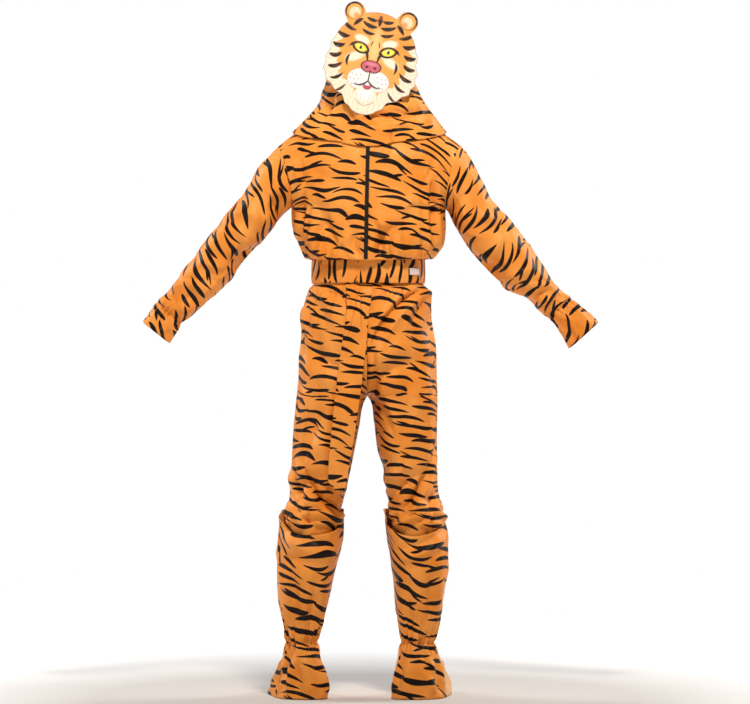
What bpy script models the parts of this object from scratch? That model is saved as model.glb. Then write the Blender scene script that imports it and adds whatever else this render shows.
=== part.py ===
"""Two-faced tiger costume as worn: a hollow jumpsuit with a cowl, a flat face, a belt, a tail and
boot covers.

Metres, +Z up. The side with the closure tape, the face and the tail looks towards -Y, and the toes
point to +Y.
The origin is in the middle of the shoulders, where the costume hangs.
"""

import bisect
import math

import bmesh
import bpy
from mathutils import Vector

for leftover in list(bpy.data.objects):
    bpy.data.objects.remove(leftover, do_unlink=True)

# Cloth and seams
CLOTH_WALL = 0.0015
SEAM_GAP = 0.0006
ARMHOLE_GAP = 0.0016
ARMHOLE_GAP_DROP = 0.4
SHOULDER_GAP = 0.0026
LAYER_GAP = 0.0007
NORMAL_STEP = 0.004

# Widths of the panels where they are widest, and their grid steps across and along
QUARTER_WIDTH = 0.20
BACK_WIDTH = 0.19
ROUND_WIDTH = 0.40
HOOD_WIDTH = 0.45
BLOUSE_BACK_GRID = (12, 16)
BLOUSE_FRONT_GRID = (20, 12)
SLEEVE_GRID = (16, 22)
TROUSER_STEPS = 8
BOOT_GRID = (14, 14)
HOOD_BACK_GRID = (20, 10)
HOOD_FRONT_GRID = (14, 7)

# Blouse
NECK_HALF_WIDTH = 0.082
NECK_POINT_HEIGHT = 0.034
NECK_BACK_HEIGHT = 0.020
NECK_FRONT_HEIGHT = -0.012
SHOULDER_START = 0.52
ARMPIT_AT = 0.46
ARMHOLE_DEPTH = 0.078
ARMHOLE_BOW = 0.010
SEAM_TOP_X = 0.004
SEAM_BOTTOM_X = -0.004
WAIST_CROWDING = 1.35
SIDE_REACH_DEGREES = 90.0
CHEST_REACH_DROP = 42.0
SHOULDER_REACH_RISE = 30.0
SHOULDER_ROUNDING = 2.6
SIDE_DROP_POWER = 1.6
SHOULDER_SLOPE_POWER = 1.7

# Closure tape
TAPE_WIDTH = 0.010
TAPE_WALL = 0.0015
TAPE_STEPS = 18
TAPE_FROM = 0.115
TAPE_TO = 0.975

# Belt
BELT_TOP = -0.3375
BELT_BOTTOM = -0.3990
BELT_WALL = 0.0025
BELT_CENTRE_X = 0.0035
BELT_HALF_WIDTH = 0.1475
BELT_HALF_DEPTH = 0.108
BELT_START_DEGREES = -61.0
BELT_OVERLAP_DEGREES = 14.0
BELT_OVERLAP_LIFT = 0.0040
BELT_LIFT_FROM = 0.88
BELT_LIFT_TO = 0.955
BELT_STEPS = 48
PATCH_WIDTH = 0.034
PATCH_HEIGHT = 0.018
PATCH_WALL = 0.0015
PATCH_DEGREES = -37.0
PATCH_Z = -0.3690

# Tail
TAIL_WALL = 0.0025
TAIL_STEPS = 18
TAIL_COLUMNS = 6
TAIL_CROWDING = 1.4
TAIL_PLEAT_DEPTH = 0.007
TAIL_PLEAT_LENGTH = 0.16
TAIL_PLEAT_TOP_WIDTH = 0.10
TAIL_PLEAT_OPENING = 0.35
TAIL_SWAY = 0.004
TAIL_SWAYS = 1.6
TAIL_SWAY_SLANT = 0.3

# Face mask
MASK_CENTRE = Vector((0.0145, -0.1020, 0.176))
MASK_TILT_DEGREES = 11.7
MASK_HALF_WIDTH = 0.113
MASK_TOP = 0.122
MASK_CHIN = -0.146
MASK_LEAN = 0.05
MASK_BEND = 1.1
MASK_WALL = 0.002
EAR_ACROSS = 0.0690
EAR_UP = 0.1120
EAR_RADIUS = 0.0270
EAR_STEPS = 8
FACE_STEPS = 44
FACE_RINGS = 3
CHEEK_DEGREES = 112
CHEEK_SPREAD = 20
CHEEK_RISE = 0.09
JAW_DEGREES = 150
JAW_SPREAD = 16
JAW_DROP = 0.10
EAR_ARC_START = -98
EAR_ARC_TURN = 196
EAR_CLEARANCE_DEGREES = 1.5

# Gathers
FOOT_SQUARE = 0.22
FOOT_TOP_Z = -1.34
FOOT_SOLE_Z = -1.45
ANKLE_Z = -1.3312
ANKLE_GATHERS = 14
ANKLE_GATHER_DEPTH = 0.0030
ANKLE_GATHER_REACH = 0.030
WRIST_GATHERS = 9
WRIST_GATHER_DEPTH = 0.0030
WRIST_GATHER_REACH = 0.0455
WRISTS = {"left": 0.89, "right": 0.87}
SLEEVE_LENGTH = 0.42
WAIST_GATHERS = 22
WAIST_GATHER_DEPTH = 0.0030
WAIST_GATHER_REACH = 0.135

# The blouse's profile at the centre of the back and of the front, and at its two sides up to the armpit.
BLOUSE_MIDDLE = {
    "columns": ("up", "z", "back", "front"),
    "rows": (
        (0.00, -0.3325, 0.0985, 0.0960),
        (0.04, -0.3325, 0.1170, 0.1130),
        (0.08, -0.3415, 0.1255, 0.1190),
        (0.13, -0.3350, 0.1320, 0.1230),
        (0.20, -0.3060, 0.1350, 0.1250),
        (0.34, -0.2500, 0.1330, 0.1220),
        (0.50, -0.1800, 0.1290, 0.1180),
        (0.66, -0.1100, 0.1240, 0.1130),
        (0.82, -0.0500, 0.1150, 0.1050),
        (0.93, -0.0060, 0.0960, 0.0880),
        (1.00, 0.0200, 0.0720, 0.0660),
    ),
}
BLOUSE_SIDES = {
    "columns": ("up", "z", "left", "right"),
    "rows": (
        (0.00, -0.3325, -0.1370, 0.1420),
        (0.04, -0.3325, -0.1500, 0.1600),
        (0.08, -0.3345, -0.1600, 0.1715),
        (0.13, -0.3210, -0.1680, 0.1850),
        (0.20, -0.2960, -0.1780, 0.2000),
        (0.32, -0.2520, -0.1940, 0.2050),
        (0.40, -0.2220, -0.1965, 0.2040),
        (0.46, -0.2002, -0.1963, 0.2028),
    ),
}
# The armholes' highest and lowest points.
ARMHOLES = {
    "left": {"top": (-0.2314, -0.0442), "bottom": (-0.1963, -0.2002)},
    "right": {"top": (0.2444, -0.0416), "bottom": (0.2028, -0.2054)},
}

# The heights of the trouser panels' rows, closer where the cloth turns.
TROUSER_LEVELS = (
    -0.3331, -0.4010, -0.4080, -0.4180, -0.4300, -0.4460, -0.4660, -0.4900, -0.5170,
    -0.5450, -0.5750, -0.6050, -0.6320, -0.6550, -0.6750, -0.6900, -0.7020, -0.7220, -0.7500,
    -0.7850, -0.8250, -0.8650, -0.9000, -0.9300, -0.9540, -0.9750, -0.9980, -1.0280, -1.0660,
)
# Trouser sections: the outer side, the inner side, and the half depth behind and before the side seam.
# Above the crotch the inner side is that of the whole hip, and the panel ends at the centre seam.
LEG_COLUMNS = ("z", "outer", "inner", "back", "front")
LEG_SECTIONS = {
    "left": {
        "columns": LEG_COLUMNS,
        "rows": (
            (-0.3331, -0.1372, 0.1420, 0.0985, 0.0960),
            (-0.4010, -0.1400, 0.1465, 0.0990, 0.0960),
            (-0.4140, -0.1510, 0.1590, 0.1120, 0.1060),
            (-0.4394, -0.1575, 0.1635, 0.1230, 0.1130),
            (-0.4706, -0.1660, 0.1640, 0.1320, 0.1190),
            (-0.5460, -0.1716, 0.1560, 0.1340, 0.1200),
            (-0.6110, -0.1755, 0.1050, 0.1280, 0.1160),
            (-0.6600, -0.1795, 0.0450, 0.1200, 0.1120),
            (-0.6968, -0.1833, -0.0026, 0.1130, 0.1080),
            (-0.7735, -0.1911, -0.0208, 0.1020, 0.1010),
            (-0.8658, -0.1963, -0.0390, 0.0920, 0.0930),
            (-0.9360, -0.2002, -0.0546, 0.0830, 0.0850),
            (-0.9750, -0.2041, -0.0650, 0.0780, 0.0810),
            (-1.0000, -0.2085, -0.0700, 0.0750, 0.0750),
            (-1.0300, -0.2080, -0.0740, 0.0740, 0.0720),
            (-1.0660, -0.2040, -0.0790, 0.0710, 0.0700),
        ),
    },
    "right": {
        "columns": LEG_COLUMNS,
        "rows": (
            (-0.3331, 0.1420, -0.1372, 0.0985, 0.0960),
            (-0.4010, 0.1465, -0.1400, 0.0990, 0.0960),
            (-0.4140, 0.1590, -0.1510, 0.1120, 0.1060),
            (-0.4394, 0.1635, -0.1575, 0.1230, 0.1130),
            (-0.4914, 0.1680, -0.1640, 0.1330, 0.1195),
            (-0.5642, 0.1794, -0.1480, 0.1340, 0.1200),
            (-0.6110, 0.1810, -0.1050, 0.1280, 0.1160),
            (-0.6600, 0.1820, -0.0450, 0.1200, 0.1120),
            (-0.6968, 0.1820, 0.0050, 0.1130, 0.1080),
            (-0.7514, 0.1820, 0.0172, 0.1050, 0.1030),
            (-0.8346, 0.1820, 0.0280, 0.0960, 0.0960),
            (-0.8814, 0.1828, 0.0442, 0.0890, 0.0900),
            (-0.9360, 0.1850, 0.0520, 0.0830, 0.0850),
            (-0.9724, 0.1930, 0.0572, 0.0780, 0.0810),
            (-0.9960, 0.1970, 0.0600, 0.0750, 0.0750),
            (-1.0300, 0.2006, 0.0640, 0.0740, 0.0720),
            (-1.0660, 0.1850, 0.0710, 0.0710, 0.0700),
        ),
    },
}

CENTRE_SEAM_TOP_X = 0.001
CENTRE_SEAM_DRIFT = 0.002
HIP_TOP_Z = -0.40
CROTCH_Z = -0.70

# Boot cover sections: the two sides as seen from behind, the half depths, and how far the toes turn out.
BOOT_COLUMNS = ("z", "low_x", "high_x", "back", "front", "turn")
BOOT_SECTIONS = {
    "left": {
        "columns": BOOT_COLUMNS,
        "rows": (
            (-0.9900, -0.2262, -0.0605, 0.0830, 0.0830, 0.0),
            (-1.0244, -0.2288, -0.0598, 0.0850, 0.0840, 0.0),
            (-1.0790, -0.2322, -0.0650, 0.0880, 0.0840, 0.0),
            (-1.1557, -0.2340, -0.0858, 0.0850, 0.0790, 0.0),
            (-1.2142, -0.2314, -0.0988, 0.0760, 0.0710, 0.0),
            (-1.2532, -0.2249, -0.1092, 0.0680, 0.0650, 0.0),
            (-1.2922, -0.2168, -0.1196, 0.0590, 0.0590, 0.0),
            (-1.3200, -0.2116, -0.1278, 0.0510, 0.0540, -0.02),
            (-1.3312, -0.2106, -0.1300, 0.0490, 0.0540, -0.04),
            (-1.3468, -0.2145, -0.1261, 0.0540, 0.0700, -0.08),
            (-1.3884, -0.2262, -0.1183, 0.0640, 0.1060, -0.13),
            (-1.4130, -0.2350, -0.1165, 0.0690, 0.1500, -0.18),
            (-1.4378, -0.2470, -0.1157, 0.0730, 0.1850, -0.22),
            (-1.4740, -0.2636, -0.1144, 0.0750, 0.2000, -0.25),
        ),
    },
    "right": {
        "columns": BOOT_COLUMNS,
        "rows": (
            (-0.9900, 0.0470, 0.2015, 0.0830, 0.0830, 0.0),
            (-1.0322, 0.0481, 0.2041, 0.0850, 0.0840, 0.0),
            (-1.1024, 0.0598, 0.2106, 0.0880, 0.0840, 0.0),
            (-1.1544, 0.0663, 0.2080, 0.0850, 0.0790, 0.0),
            (-1.2064, 0.0715, 0.2002, 0.0770, 0.0720, 0.0),
            (-1.2454, 0.0767, 0.1937, 0.0700, 0.0660, 0.0),
            (-1.2844, 0.0819, 0.1872, 0.0600, 0.0600, 0.0),
            (-1.3200, 0.0878, 0.1758, 0.0510, 0.0540, 0.02),
            (-1.3312, 0.0884, 0.1742, 0.0490, 0.0540, 0.04),
            (-1.3468, 0.0858, 0.1794, 0.0540, 0.0700, 0.08),
            (-1.3884, 0.0819, 0.1963, 0.0640, 0.1060, 0.13),
            (-1.4130, 0.0802, 0.2060, 0.0690, 0.1500, 0.16),
            (-1.4400, 0.0785, 0.2160, 0.0730, 0.1850, 0.19),
            (-1.4740, 0.0741, 0.2250, 0.0750, 0.2000, 0.21),
        ),
    },
}
# How the top edge of a boot cover runs round the leg: the angle from the outer side through the back.
BOOT_TOPS = {
    "left": {
        "columns": ("angle", "z"),
        "rows": (
            (-90, -0.985),
            (0, -0.996),
            (45, -1.040),
            (100, -1.049),
            (150, -1.032),
            (180, -1.008),
            (270, -0.985),
        ),
    },
    "right": {
        "columns": ("angle", "z"),
        "rows": (
            (-90, -0.985),
            (0, -1.014),
            (45, -1.038),
            (100, -1.052),
            (150, -1.030),
            (180, -1.000),
            (270, -0.985),
        ),
    },
}

# Sleeve sections: the upper and the lower side as seen from behind, the middle's y and the half depth.
SLEEVE_COLUMNS = ("along", "up_x", "up_z", "low_x", "low_z", "y", "depth")
SLEEVE_SECTIONS = {
    "left": {
        "columns": SLEEVE_COLUMNS,
        "rows": (
            (0.00, -0.2314, -0.0442, -0.1963, -0.2002, 0.000, 0.0780),
            (0.08, -0.2743, -0.0884, -0.2236, -0.2262, 0.000, 0.0740),
            (0.20, -0.3146, -0.1547, -0.2470, -0.2574, 0.000, 0.0700),
            (0.29, -0.3484, -0.1976, -0.2730, -0.2886, 0.001, 0.0680),
            (0.38, -0.3822, -0.2392, -0.2964, -0.3120, 0.002, 0.0660),
            (0.48, -0.4212, -0.2886, -0.3276, -0.3484, 0.004, 0.0630),
            (0.56, -0.4500, -0.3310, -0.3588, -0.3926, 0.006, 0.0590),
            (0.70, -0.4862, -0.3850, -0.4186, -0.4472, 0.010, 0.0540),
            (0.81, -0.5226, -0.4264, -0.4602, -0.4870, 0.014, 0.0480),
            (0.89, -0.5460, -0.4460, -0.4836, -0.5020, 0.016, 0.0370),
            (0.94, -0.5642, -0.4706, -0.4966, -0.5278, 0.018, 0.0440),
            (1.00, -0.5824, -0.4992, -0.5148, -0.5538, 0.020, 0.0480),
        ),
    },
    "right": {
        "columns": SLEEVE_COLUMNS,
        "rows": (
            (0.00, 0.2444, -0.0416, 0.2028, -0.2054, 0.000, 0.0780),
            (0.08, 0.2800, -0.0920, 0.2120, -0.2150, 0.000, 0.0740),
            (0.20, 0.3250, -0.1820, 0.2366, -0.2626, 0.000, 0.0700),
            (0.29, 0.3614, -0.2262, 0.2678, -0.3120, 0.001, 0.0680),
            (0.38, 0.3952, -0.2652, 0.3016, -0.3510, 0.002, 0.0660),
            (0.48, 0.4290, -0.3068, 0.3380, -0.3874, 0.004, 0.0630),
            (0.58, 0.4680, -0.3640, 0.3770, -0.4160, 0.006, 0.0590),
            (0.69, 0.4914, -0.3978, 0.4134, -0.4342, 0.010, 0.0530),
            (0.78, 0.5080, -0.4190, 0.4420, -0.4610, 0.014, 0.0480),
            (0.87, 0.5330, -0.4394, 0.4732, -0.4890, 0.016, 0.0370),
            (0.94, 0.5694, -0.4660, 0.4966, -0.5148, 0.018, 0.0440),
            (1.00, 0.6020, -0.5000, 0.5278, -0.5668, 0.020, 0.0480),
        ),
    },
}

# Hood sections from the hem up: the two sides, their height, and the depth and height at the back and
# the front.
HOOD_SECTIONS = {
    "columns": ("up", "left", "right", "side_z", "back", "back_z", "front", "front_z"),
    "rows": (
        (0.00, -0.1960, 0.2010, 0.0030, 0.1180, -0.0360, 0.1060, -0.0750),
        (0.14, -0.1660, 0.1810, 0.0300, 0.1150, -0.0040, 0.1040, -0.0400),
        (0.30, -0.1270, 0.1510, 0.0700, 0.1080, 0.0350, 0.0960, -0.0080),
        (0.50, -0.1090, 0.1270, 0.1180, 0.1010, 0.0900, 0.0900, 0.0240),
        (0.70, -0.0980, 0.1140, 0.1550, 0.0970, 0.1380, 0.0900, 0.0460),
        (1.00, -0.0900, 0.1040, 0.1960, 0.0930, 0.1960, 0.0920, 0.0680),
    ),
}
HOOD_HEM_REACH = 0.70
HOOD_HEM_TOP = 0.992
HOOD_HEM_DROP = 0.17
HOOD_FRONT_DROP = 1.25
HOOD_LIFT = 0.0043
HOOD_HEM_BLEND = 0.45

# Tail: its two edges and its depth, down from the belt.
TAIL_SECTIONS = {
    "columns": ("down", "z", "left", "right", "back"),
    "rows": (
        (0.00, -0.4030, -0.0545, 0.0145, 0.1008),
        (0.02, -0.4140, -0.0535, 0.0138, 0.1158),
        (0.06, -0.4340, -0.0520, 0.0120, 0.1260),
        (0.14, -0.4780, -0.0530, 0.0060, 0.1390),
        (0.30, -0.5640, -0.0650, -0.0020, 0.1420),
        (0.50, -0.6760, -0.0800, -0.0155, 0.1370),
        (0.70, -0.7860, -0.0910, -0.0310, 0.1260),
        (0.86, -0.8740, -0.0990, -0.0460, 0.1170),
        (0.93, -0.9100, -0.0985, -0.0520, 0.1140),
        (0.975, -0.9280, -0.0880, -0.0560, 0.1120),
        (1.00, -0.9360, -0.0740, -0.0600, 0.1115),
    ),
}

# Large soft folds on the body: where each starts and ends as seen from behind, its side, width and depth.
# A fold goes in where its depth is below nought, and its middle bows by the bend.
FOLD_BEND = 0.010
FOLDS = (
    ("back", 0.160, -0.405, 0.015, -0.525, 0.010, -0.0060),
    ("back", 0.150, -0.430, 0.040, -0.520, 0.020, 0.0050),
    ("back", -0.100, -0.408, -0.050, -0.470, 0.013, -0.0050),
    ("back", -0.060, -0.620, -0.150, -0.560, 0.020, -0.0050),
    ("back", 0.020, -0.660, 0.130, -0.600, 0.022, -0.0060),
    ("back", 0.060, -0.950, 0.150, -0.890, 0.018, -0.0060),
    ("back", 0.185, -0.960, 0.110, -0.930, 0.016, -0.0050),
    ("back", -0.190, -0.950, -0.110, -0.900, 0.018, -0.0060),
    ("back", -0.080, -0.960, -0.150, -0.930, 0.016, -0.0050),
    ("back", -0.050, -0.330, -0.130, -0.200, 0.024, -0.0060),
    ("back", 0.030, -0.330, 0.075, -0.250, 0.015, -0.0070),
    ("back", -0.020, -0.330, -0.030, -0.270, 0.012, -0.0050),
    ("back", -0.170, -0.320, -0.165, -0.160, 0.020, -0.0060),
    ("back", 0.180, -0.300, 0.165, -0.150, 0.020, -0.0050),
    ("back", 0.120, -0.320, 0.100, -0.220, 0.018, -0.0040),
    ("front", 0.090, -0.420, 0.010, -0.560, 0.016, -0.0050),
    ("front", -0.090, -0.420, -0.020, -0.570, 0.016, -0.0050),
    ("front", 0.140, -0.930, 0.080, -0.900, 0.018, -0.0050),
    ("front", -0.150, -0.930, -0.090, -0.900, 0.018, -0.0050),
    ("front", 0.060, -0.330, 0.110, -0.200, 0.022, -0.0060),
    ("front", -0.060, -0.330, -0.110, -0.210, 0.022, -0.0060),
)
HOOD_FOLDS = (
    ("back", -0.072, 0.135, -0.036, 0.010, 0.014, -0.0080),
    ("back", -0.052, 0.120, -0.014, 0.015, 0.014, 0.0060),
    ("back", -0.030, 0.020, 0.190, -0.002, 0.018, -0.0050),
    ("back", -0.020, 0.000, 0.080, -0.022, 0.016, 0.0050),
    ("back", 0.165, 0.045, 0.060, 0.050, 0.014, -0.0060),
    ("back", -0.150, 0.040, -0.080, 0.060, 0.016, -0.0050),
    ("front", -0.060, 0.060, 0.060, -0.020, 0.018, -0.0060),
    ("front", 0.080, 0.050, -0.040, 0.000, 0.018, 0.0050),
)
# Folds across a sleeve: how far along it, the angle of its middle from the upper side, reach, slant,
# width, depth.
SLEEVE_FOLDS = (
    (0.10, -120, 70, 0.05, 0.030, -0.0060),
    (0.42, -170, 60, 0.03, 0.022, -0.0060),
    (0.50, -150, 60, -0.04, 0.022, -0.0070),
    (0.58, -160, 60, 0.02, 0.020, -0.0050),
    (0.46, 150, 60, 0.04, 0.024, -0.0060),
    (0.74, -110, 60, 0.03, 0.018, -0.0050),
    (0.80, -60, 60, -0.03, 0.016, -0.0040),
)


def sample(table, at):
    """Every column of a table at one place of its first column, on a smooth curve through the rows."""
    rows = table["rows"]
    keys = [row[0] for row in rows]
    falling = keys[0] > keys[-1]
    wanted = -at if falling else at
    ordered = [-key for key in keys] if falling else keys
    wanted = min(max(wanted, ordered[0]), ordered[-1])
    index = min(max(bisect.bisect_right(ordered, wanted) - 1, 0), len(rows) - 2)
    span = ordered[index + 1] - ordered[index]
    part = (wanted - ordered[index]) / span

    def slope(row, column):
        low, high = max(row - 1, 0), min(row + 1, len(rows) - 1)
        return (rows[high][column] - rows[low][column]) / (ordered[high] - ordered[low])

    values = {}
    for column, name in enumerate(table["columns"]):
        start, end = rows[index][column], rows[index + 1][column]
        leave, arrive = slope(index, column) * span, slope(index + 1, column) * span
        values[name] = (
            start * (2 * part**3 - 3 * part**2 + 1)
            + leave * (part**3 - 2 * part**2 + part)
            + end * (3 * part**2 - 2 * part**3)
            + arrive * (part**3 - part**2)
        )
    return values


def soft_step(start, end, value):
    part = min(max((value - start) / (end - start), 0.0), 1.0)
    return part * part * (3 - 2 * part)


def fold_height(folds, side, x, z):
    """How far the large folds move the cloth out at one place of the back or the front."""
    height = 0.0
    for face, from_x, from_z, to_x, to_z, width, depth in folds:
        if face != side:
            continue
        run = Vector((to_x - from_x, to_z - from_z))
        offset = Vector((x - from_x, z - from_z))
        along = offset.dot(run) / run.length_squared
        across = (run.x * offset.y - run.y * offset.x) / run.length
        bend = FOLD_BEND * math.sin(math.pi * along)
        fade = soft_step(-0.25, 0.2, along) * (1 - soft_step(0.6, 1.25, along))
        height += depth * fade * math.exp(-(((across - bend) / width) ** 2))
    return height


def moved_out(surface, u, v, height):
    """A point of a surface moved along its normal."""
    u_low, u_high = max(u - NORMAL_STEP, 0.0), min(u + NORMAL_STEP, 1.0)
    v_low, v_high = max(v - NORMAL_STEP, 0.0), min(v + NORMAL_STEP, 1.0)
    across = surface(u_high, v) - surface(u_low, v)
    along = surface(u, v_high) - surface(u, v_low)
    normal = across.cross(along)
    if normal.length < 1e-12:
        return surface(u, v)
    return surface(u, v) + normal.normalized() * height


# Blouse


def armhole_point(side, degrees):
    """The armhole: 0 degrees is its top, -90 its back, 90 its front and 180 the armpit."""
    ends = ARMHOLES[side]
    top = Vector((ends["top"][0], 0.0, ends["top"][1]))
    bottom = Vector((ends["bottom"][0], 0.0, ends["bottom"][1]))
    angle = math.radians(degrees)
    inward = 1.0 if side == "left" else -1.0
    bow = Vector((inward * ARMHOLE_BOW, 0.0, 0.0)) * abs(math.sin(angle))
    depth = Vector((0.0, ARMHOLE_DEPTH * math.sin(angle), 0.0))
    return (top + bottom) / 2 + (top - bottom) / 2 * math.cos(angle) + depth + bow


def blouse_seam_x(v):
    return SEAM_BOTTOM_X + (SEAM_TOP_X - SEAM_BOTTOM_X) * v


def blouse_arc(u, centre, edge, reach_degrees):
    """A rounded row of the blouse from its centre to its edge."""
    reach = math.radians(reach_degrees)
    across = math.sin(u * reach) / math.sin(reach)
    falling = (math.cos(u * reach) - math.cos(reach)) / (1 - math.cos(reach))
    x = centre.x + (edge.x - centre.x) * across
    y = edge.y + (centre.y - edge.y) * falling
    return Vector((x, y, centre.z + (edge.z - centre.z) * across**SIDE_DROP_POWER))


def blouse_base(side, face, u, v):
    """A quarter of the blouse: u runs from the centre to the side seam or armhole, v from the waist up."""
    sign = -1.0 if face == "back" else 1.0
    middle = sample(BLOUSE_MIDDLE, v)
    if v <= ARMPIT_AT:
        edge = sample(BLOUSE_SIDES, v)
        edge_point = Vector((edge[side], 0.0, edge["z"]))
        reach_degrees = SIDE_REACH_DEGREES
    else:
        risen = (v - ARMPIT_AT) / (1 - ARMPIT_AT)
        edge_point = armhole_point(side, sign * (180 - 180 * risen))
        reach_degrees = SIDE_REACH_DEGREES - CHEST_REACH_DROP * soft_step(0.0, 0.5, risen)
        reach_degrees += SHOULDER_REACH_RISE * soft_step(0.6, 1.0, risen)
    seam_point = Vector((blouse_seam_x(v), sign * middle[face], middle["z"]))
    point = blouse_arc(u, seam_point, edge_point, reach_degrees)
    if v > SHOULDER_START:
        rise = (v - SHOULDER_START) / (1 - SHOULDER_START)
        pull_y = 1 - math.sqrt(max(1 - rise**SHOULDER_ROUNDING, 0.0))
        pull_z = rise**2
        target = blouse_top(side, face, u)
        end = blouse_base_top(side, face, u)
        shift = target - end
        point += Vector((shift.x * pull_z, shift.y * pull_y, shift.z * pull_z))
    return point


def blouse_base_top(side, face, u):
    """Where the blouse's quarter would end at the top if nothing drew it to the shoulder seam."""
    sign = -1.0 if face == "back" else 1.0
    middle = sample(BLOUSE_MIDDLE, 1.0)
    centre = Vector((blouse_seam_x(1.0), sign * middle[face], middle["z"]))
    reach_degrees = SIDE_REACH_DEGREES - CHEST_REACH_DROP + SHOULDER_REACH_RISE
    return blouse_arc(u, centre, armhole_point(side, 0.0), reach_degrees)


def blouse_top(side, face, u):
    """The blouse's top edge: the neckline from the centre to the neck point, then the shoulder seam."""
    sign = -1.0 if face == "back" else 1.0
    end = blouse_base_top(side, face, u)
    shoulder = armhole_point(side, 0.0)
    neck_share = min(abs(end.x) / NECK_HALF_WIDTH, 1.0)
    neck_z = NECK_BACK_HEIGHT if face == "back" else NECK_FRONT_HEIGHT
    if abs(end.x) < NECK_HALF_WIDTH:
        z = neck_z + (NECK_POINT_HEIGHT - neck_z) * neck_share**2
        depth = sample(BLOUSE_MIDDLE, 1.0)[face]
        y = sign * max(depth * math.sqrt(max(1 - neck_share**2, 0.0)), SHOULDER_GAP / 2)
    else:
        slope = (abs(end.x) - NECK_HALF_WIDTH) / (abs(shoulder.x) - NECK_HALF_WIDTH)
        z = NECK_POINT_HEIGHT + (shoulder.z - NECK_POINT_HEIGHT) * slope**SHOULDER_SLOPE_POWER
        y = sign * SHOULDER_GAP / 2
    return Vector((end.x, y, z))


def waist_gather(u, v, count):
    """Small gathers that fade away from the waist seam."""
    fade = math.exp(-((v / WAIST_GATHER_REACH) ** 2)) * soft_step(0.04, 0.12, v)
    return WAIST_GATHER_DEPTH * fade * math.cos(2 * math.pi * count * u)


def blouse_point(side, face, u, v):
    def base(a, b):
        return blouse_base(side, face, a, b)

    plain = base(u, v)
    height = fold_height(FOLDS, face, plain.x, plain.z) * soft_step(0.04, 0.12, v)
    height += waist_gather(u, v, WAIST_GATHERS / 4)
    height *= (1 - soft_step(0.80, 1.0, u)) * soft_step(0.0, 0.12, u)
    outward = 1.0 if (side == "left") == (face == "back") else -1.0
    return moved_out(base, u, v, height * -outward)


# Trousers


def level_at(v):
    """The height of a place down the trousers, in equal steps from one row of the panels to the next."""
    place = v * (len(TROUSER_LEVELS) - 1)
    index = min(int(place), len(TROUSER_LEVELS) - 2)
    part = place - index
    return TROUSER_LEVELS[index] * (1 - part) + TROUSER_LEVELS[index + 1] * part


def trouser_seam_x(z):
    return CENTRE_SEAM_TOP_X + CENTRE_SEAM_DRIFT * soft_step(HIP_TOP_Z, CROTCH_Z, z)


def trouser_base(side, face, u, v):
    """A trouser panel: u runs from the outer seam to the centre seam or inseam, v from the waist down."""
    z = level_at(v)
    cut = sample(LEG_SECTIONS[side], z)
    centre_x = (cut["outer"] + cut["inner"]) / 2
    half = (cut["inner"] - cut["outer"]) / 2
    seam = trouser_seam_x(z)
    end = math.pi
    if abs(cut["outer"] - seam) < abs(cut["outer"] - cut["inner"]):
        end = math.acos(max(min((centre_x - seam) / half, 1.0), -1.0))
    angle = u * end
    sign = -1.0 if face == "back" else 1.0
    x = centre_x - half * math.cos(angle)
    y = sign * cut[face] * math.sin(angle) ** 0.92
    return Vector((x, y, z))


def trouser_point(side, face, u, v):
    def base(a, b):
        return trouser_base(side, face, a, b)

    plain = base(u, v)
    height = fold_height(FOLDS, face, plain.x, plain.z)
    height *= soft_step(0.0, 0.12, u) * (1 - soft_step(0.88, 1.0, u)) * soft_step(0.405, 0.425, -plain.z)
    outward = 1.0 if (side == "left") == (face == "back") else -1.0
    return moved_out(base, u, v, height * -outward)


# Boot covers


def boot_top_z(side, degrees):
    return sample(BOOT_TOPS[side], degrees)["z"]


def boot_base(side, degrees, v):
    """A boot cover: 0 degrees is its outer side, 90 the back, 180 the inner side and -90 the front."""
    rows = BOOT_SECTIONS[side]["rows"]
    top = boot_top_z(side, degrees)
    z = top + (rows[-1][0] - top) * v
    cut = sample(BOOT_SECTIONS[side], z)
    outward = -1.0 if side == "left" else 1.0
    centre_x = (cut["low_x"] + cut["high_x"]) / 2
    angle = math.radians(degrees)
    depth = cut["back"] if math.sin(angle) > 0 else cut["front"]
    seen_half = (cut["high_x"] - cut["low_x"]) / 2
    lean = cut["turn"] * (cut["back"] + cut["front"]) / 2
    half = math.sqrt(max(seen_half**2 - lean**2, 0.0001))
    square = 1 - FOOT_SQUARE * soft_step(FOOT_TOP_Z, FOOT_SOLE_Z, z)
    y = -depth * math.copysign(abs(math.sin(angle)) ** square, math.sin(angle))
    across = half * math.copysign(abs(math.cos(angle)) ** square, math.cos(angle))
    x = centre_x + outward * across + cut["turn"] * (y - (cut["front"] - cut["back"]) / 2)
    return Vector((x, y, z))


def boot_point(side, face, u, v):
    start, end = (0.0, 180.0) if face == "back" else (-180.0, 0.0)

    def base(a, b):
        return boot_base(side, start + (end - start) * a, b)

    plain = base(u, v)
    away = abs(plain.z - ANKLE_Z) / ANKLE_GATHER_REACH
    height = ANKLE_GATHER_DEPTH * math.exp(-(away**2)) * math.cos(2 * math.pi * ANKLE_GATHERS / 4 * u)
    height *= soft_step(0.0, 0.06, u) * (1 - soft_step(0.94, 1.0, u))
    outward = 1.0 if side == "left" else -1.0
    return moved_out(base, u, v, height * -outward)


# Sleeves


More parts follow.
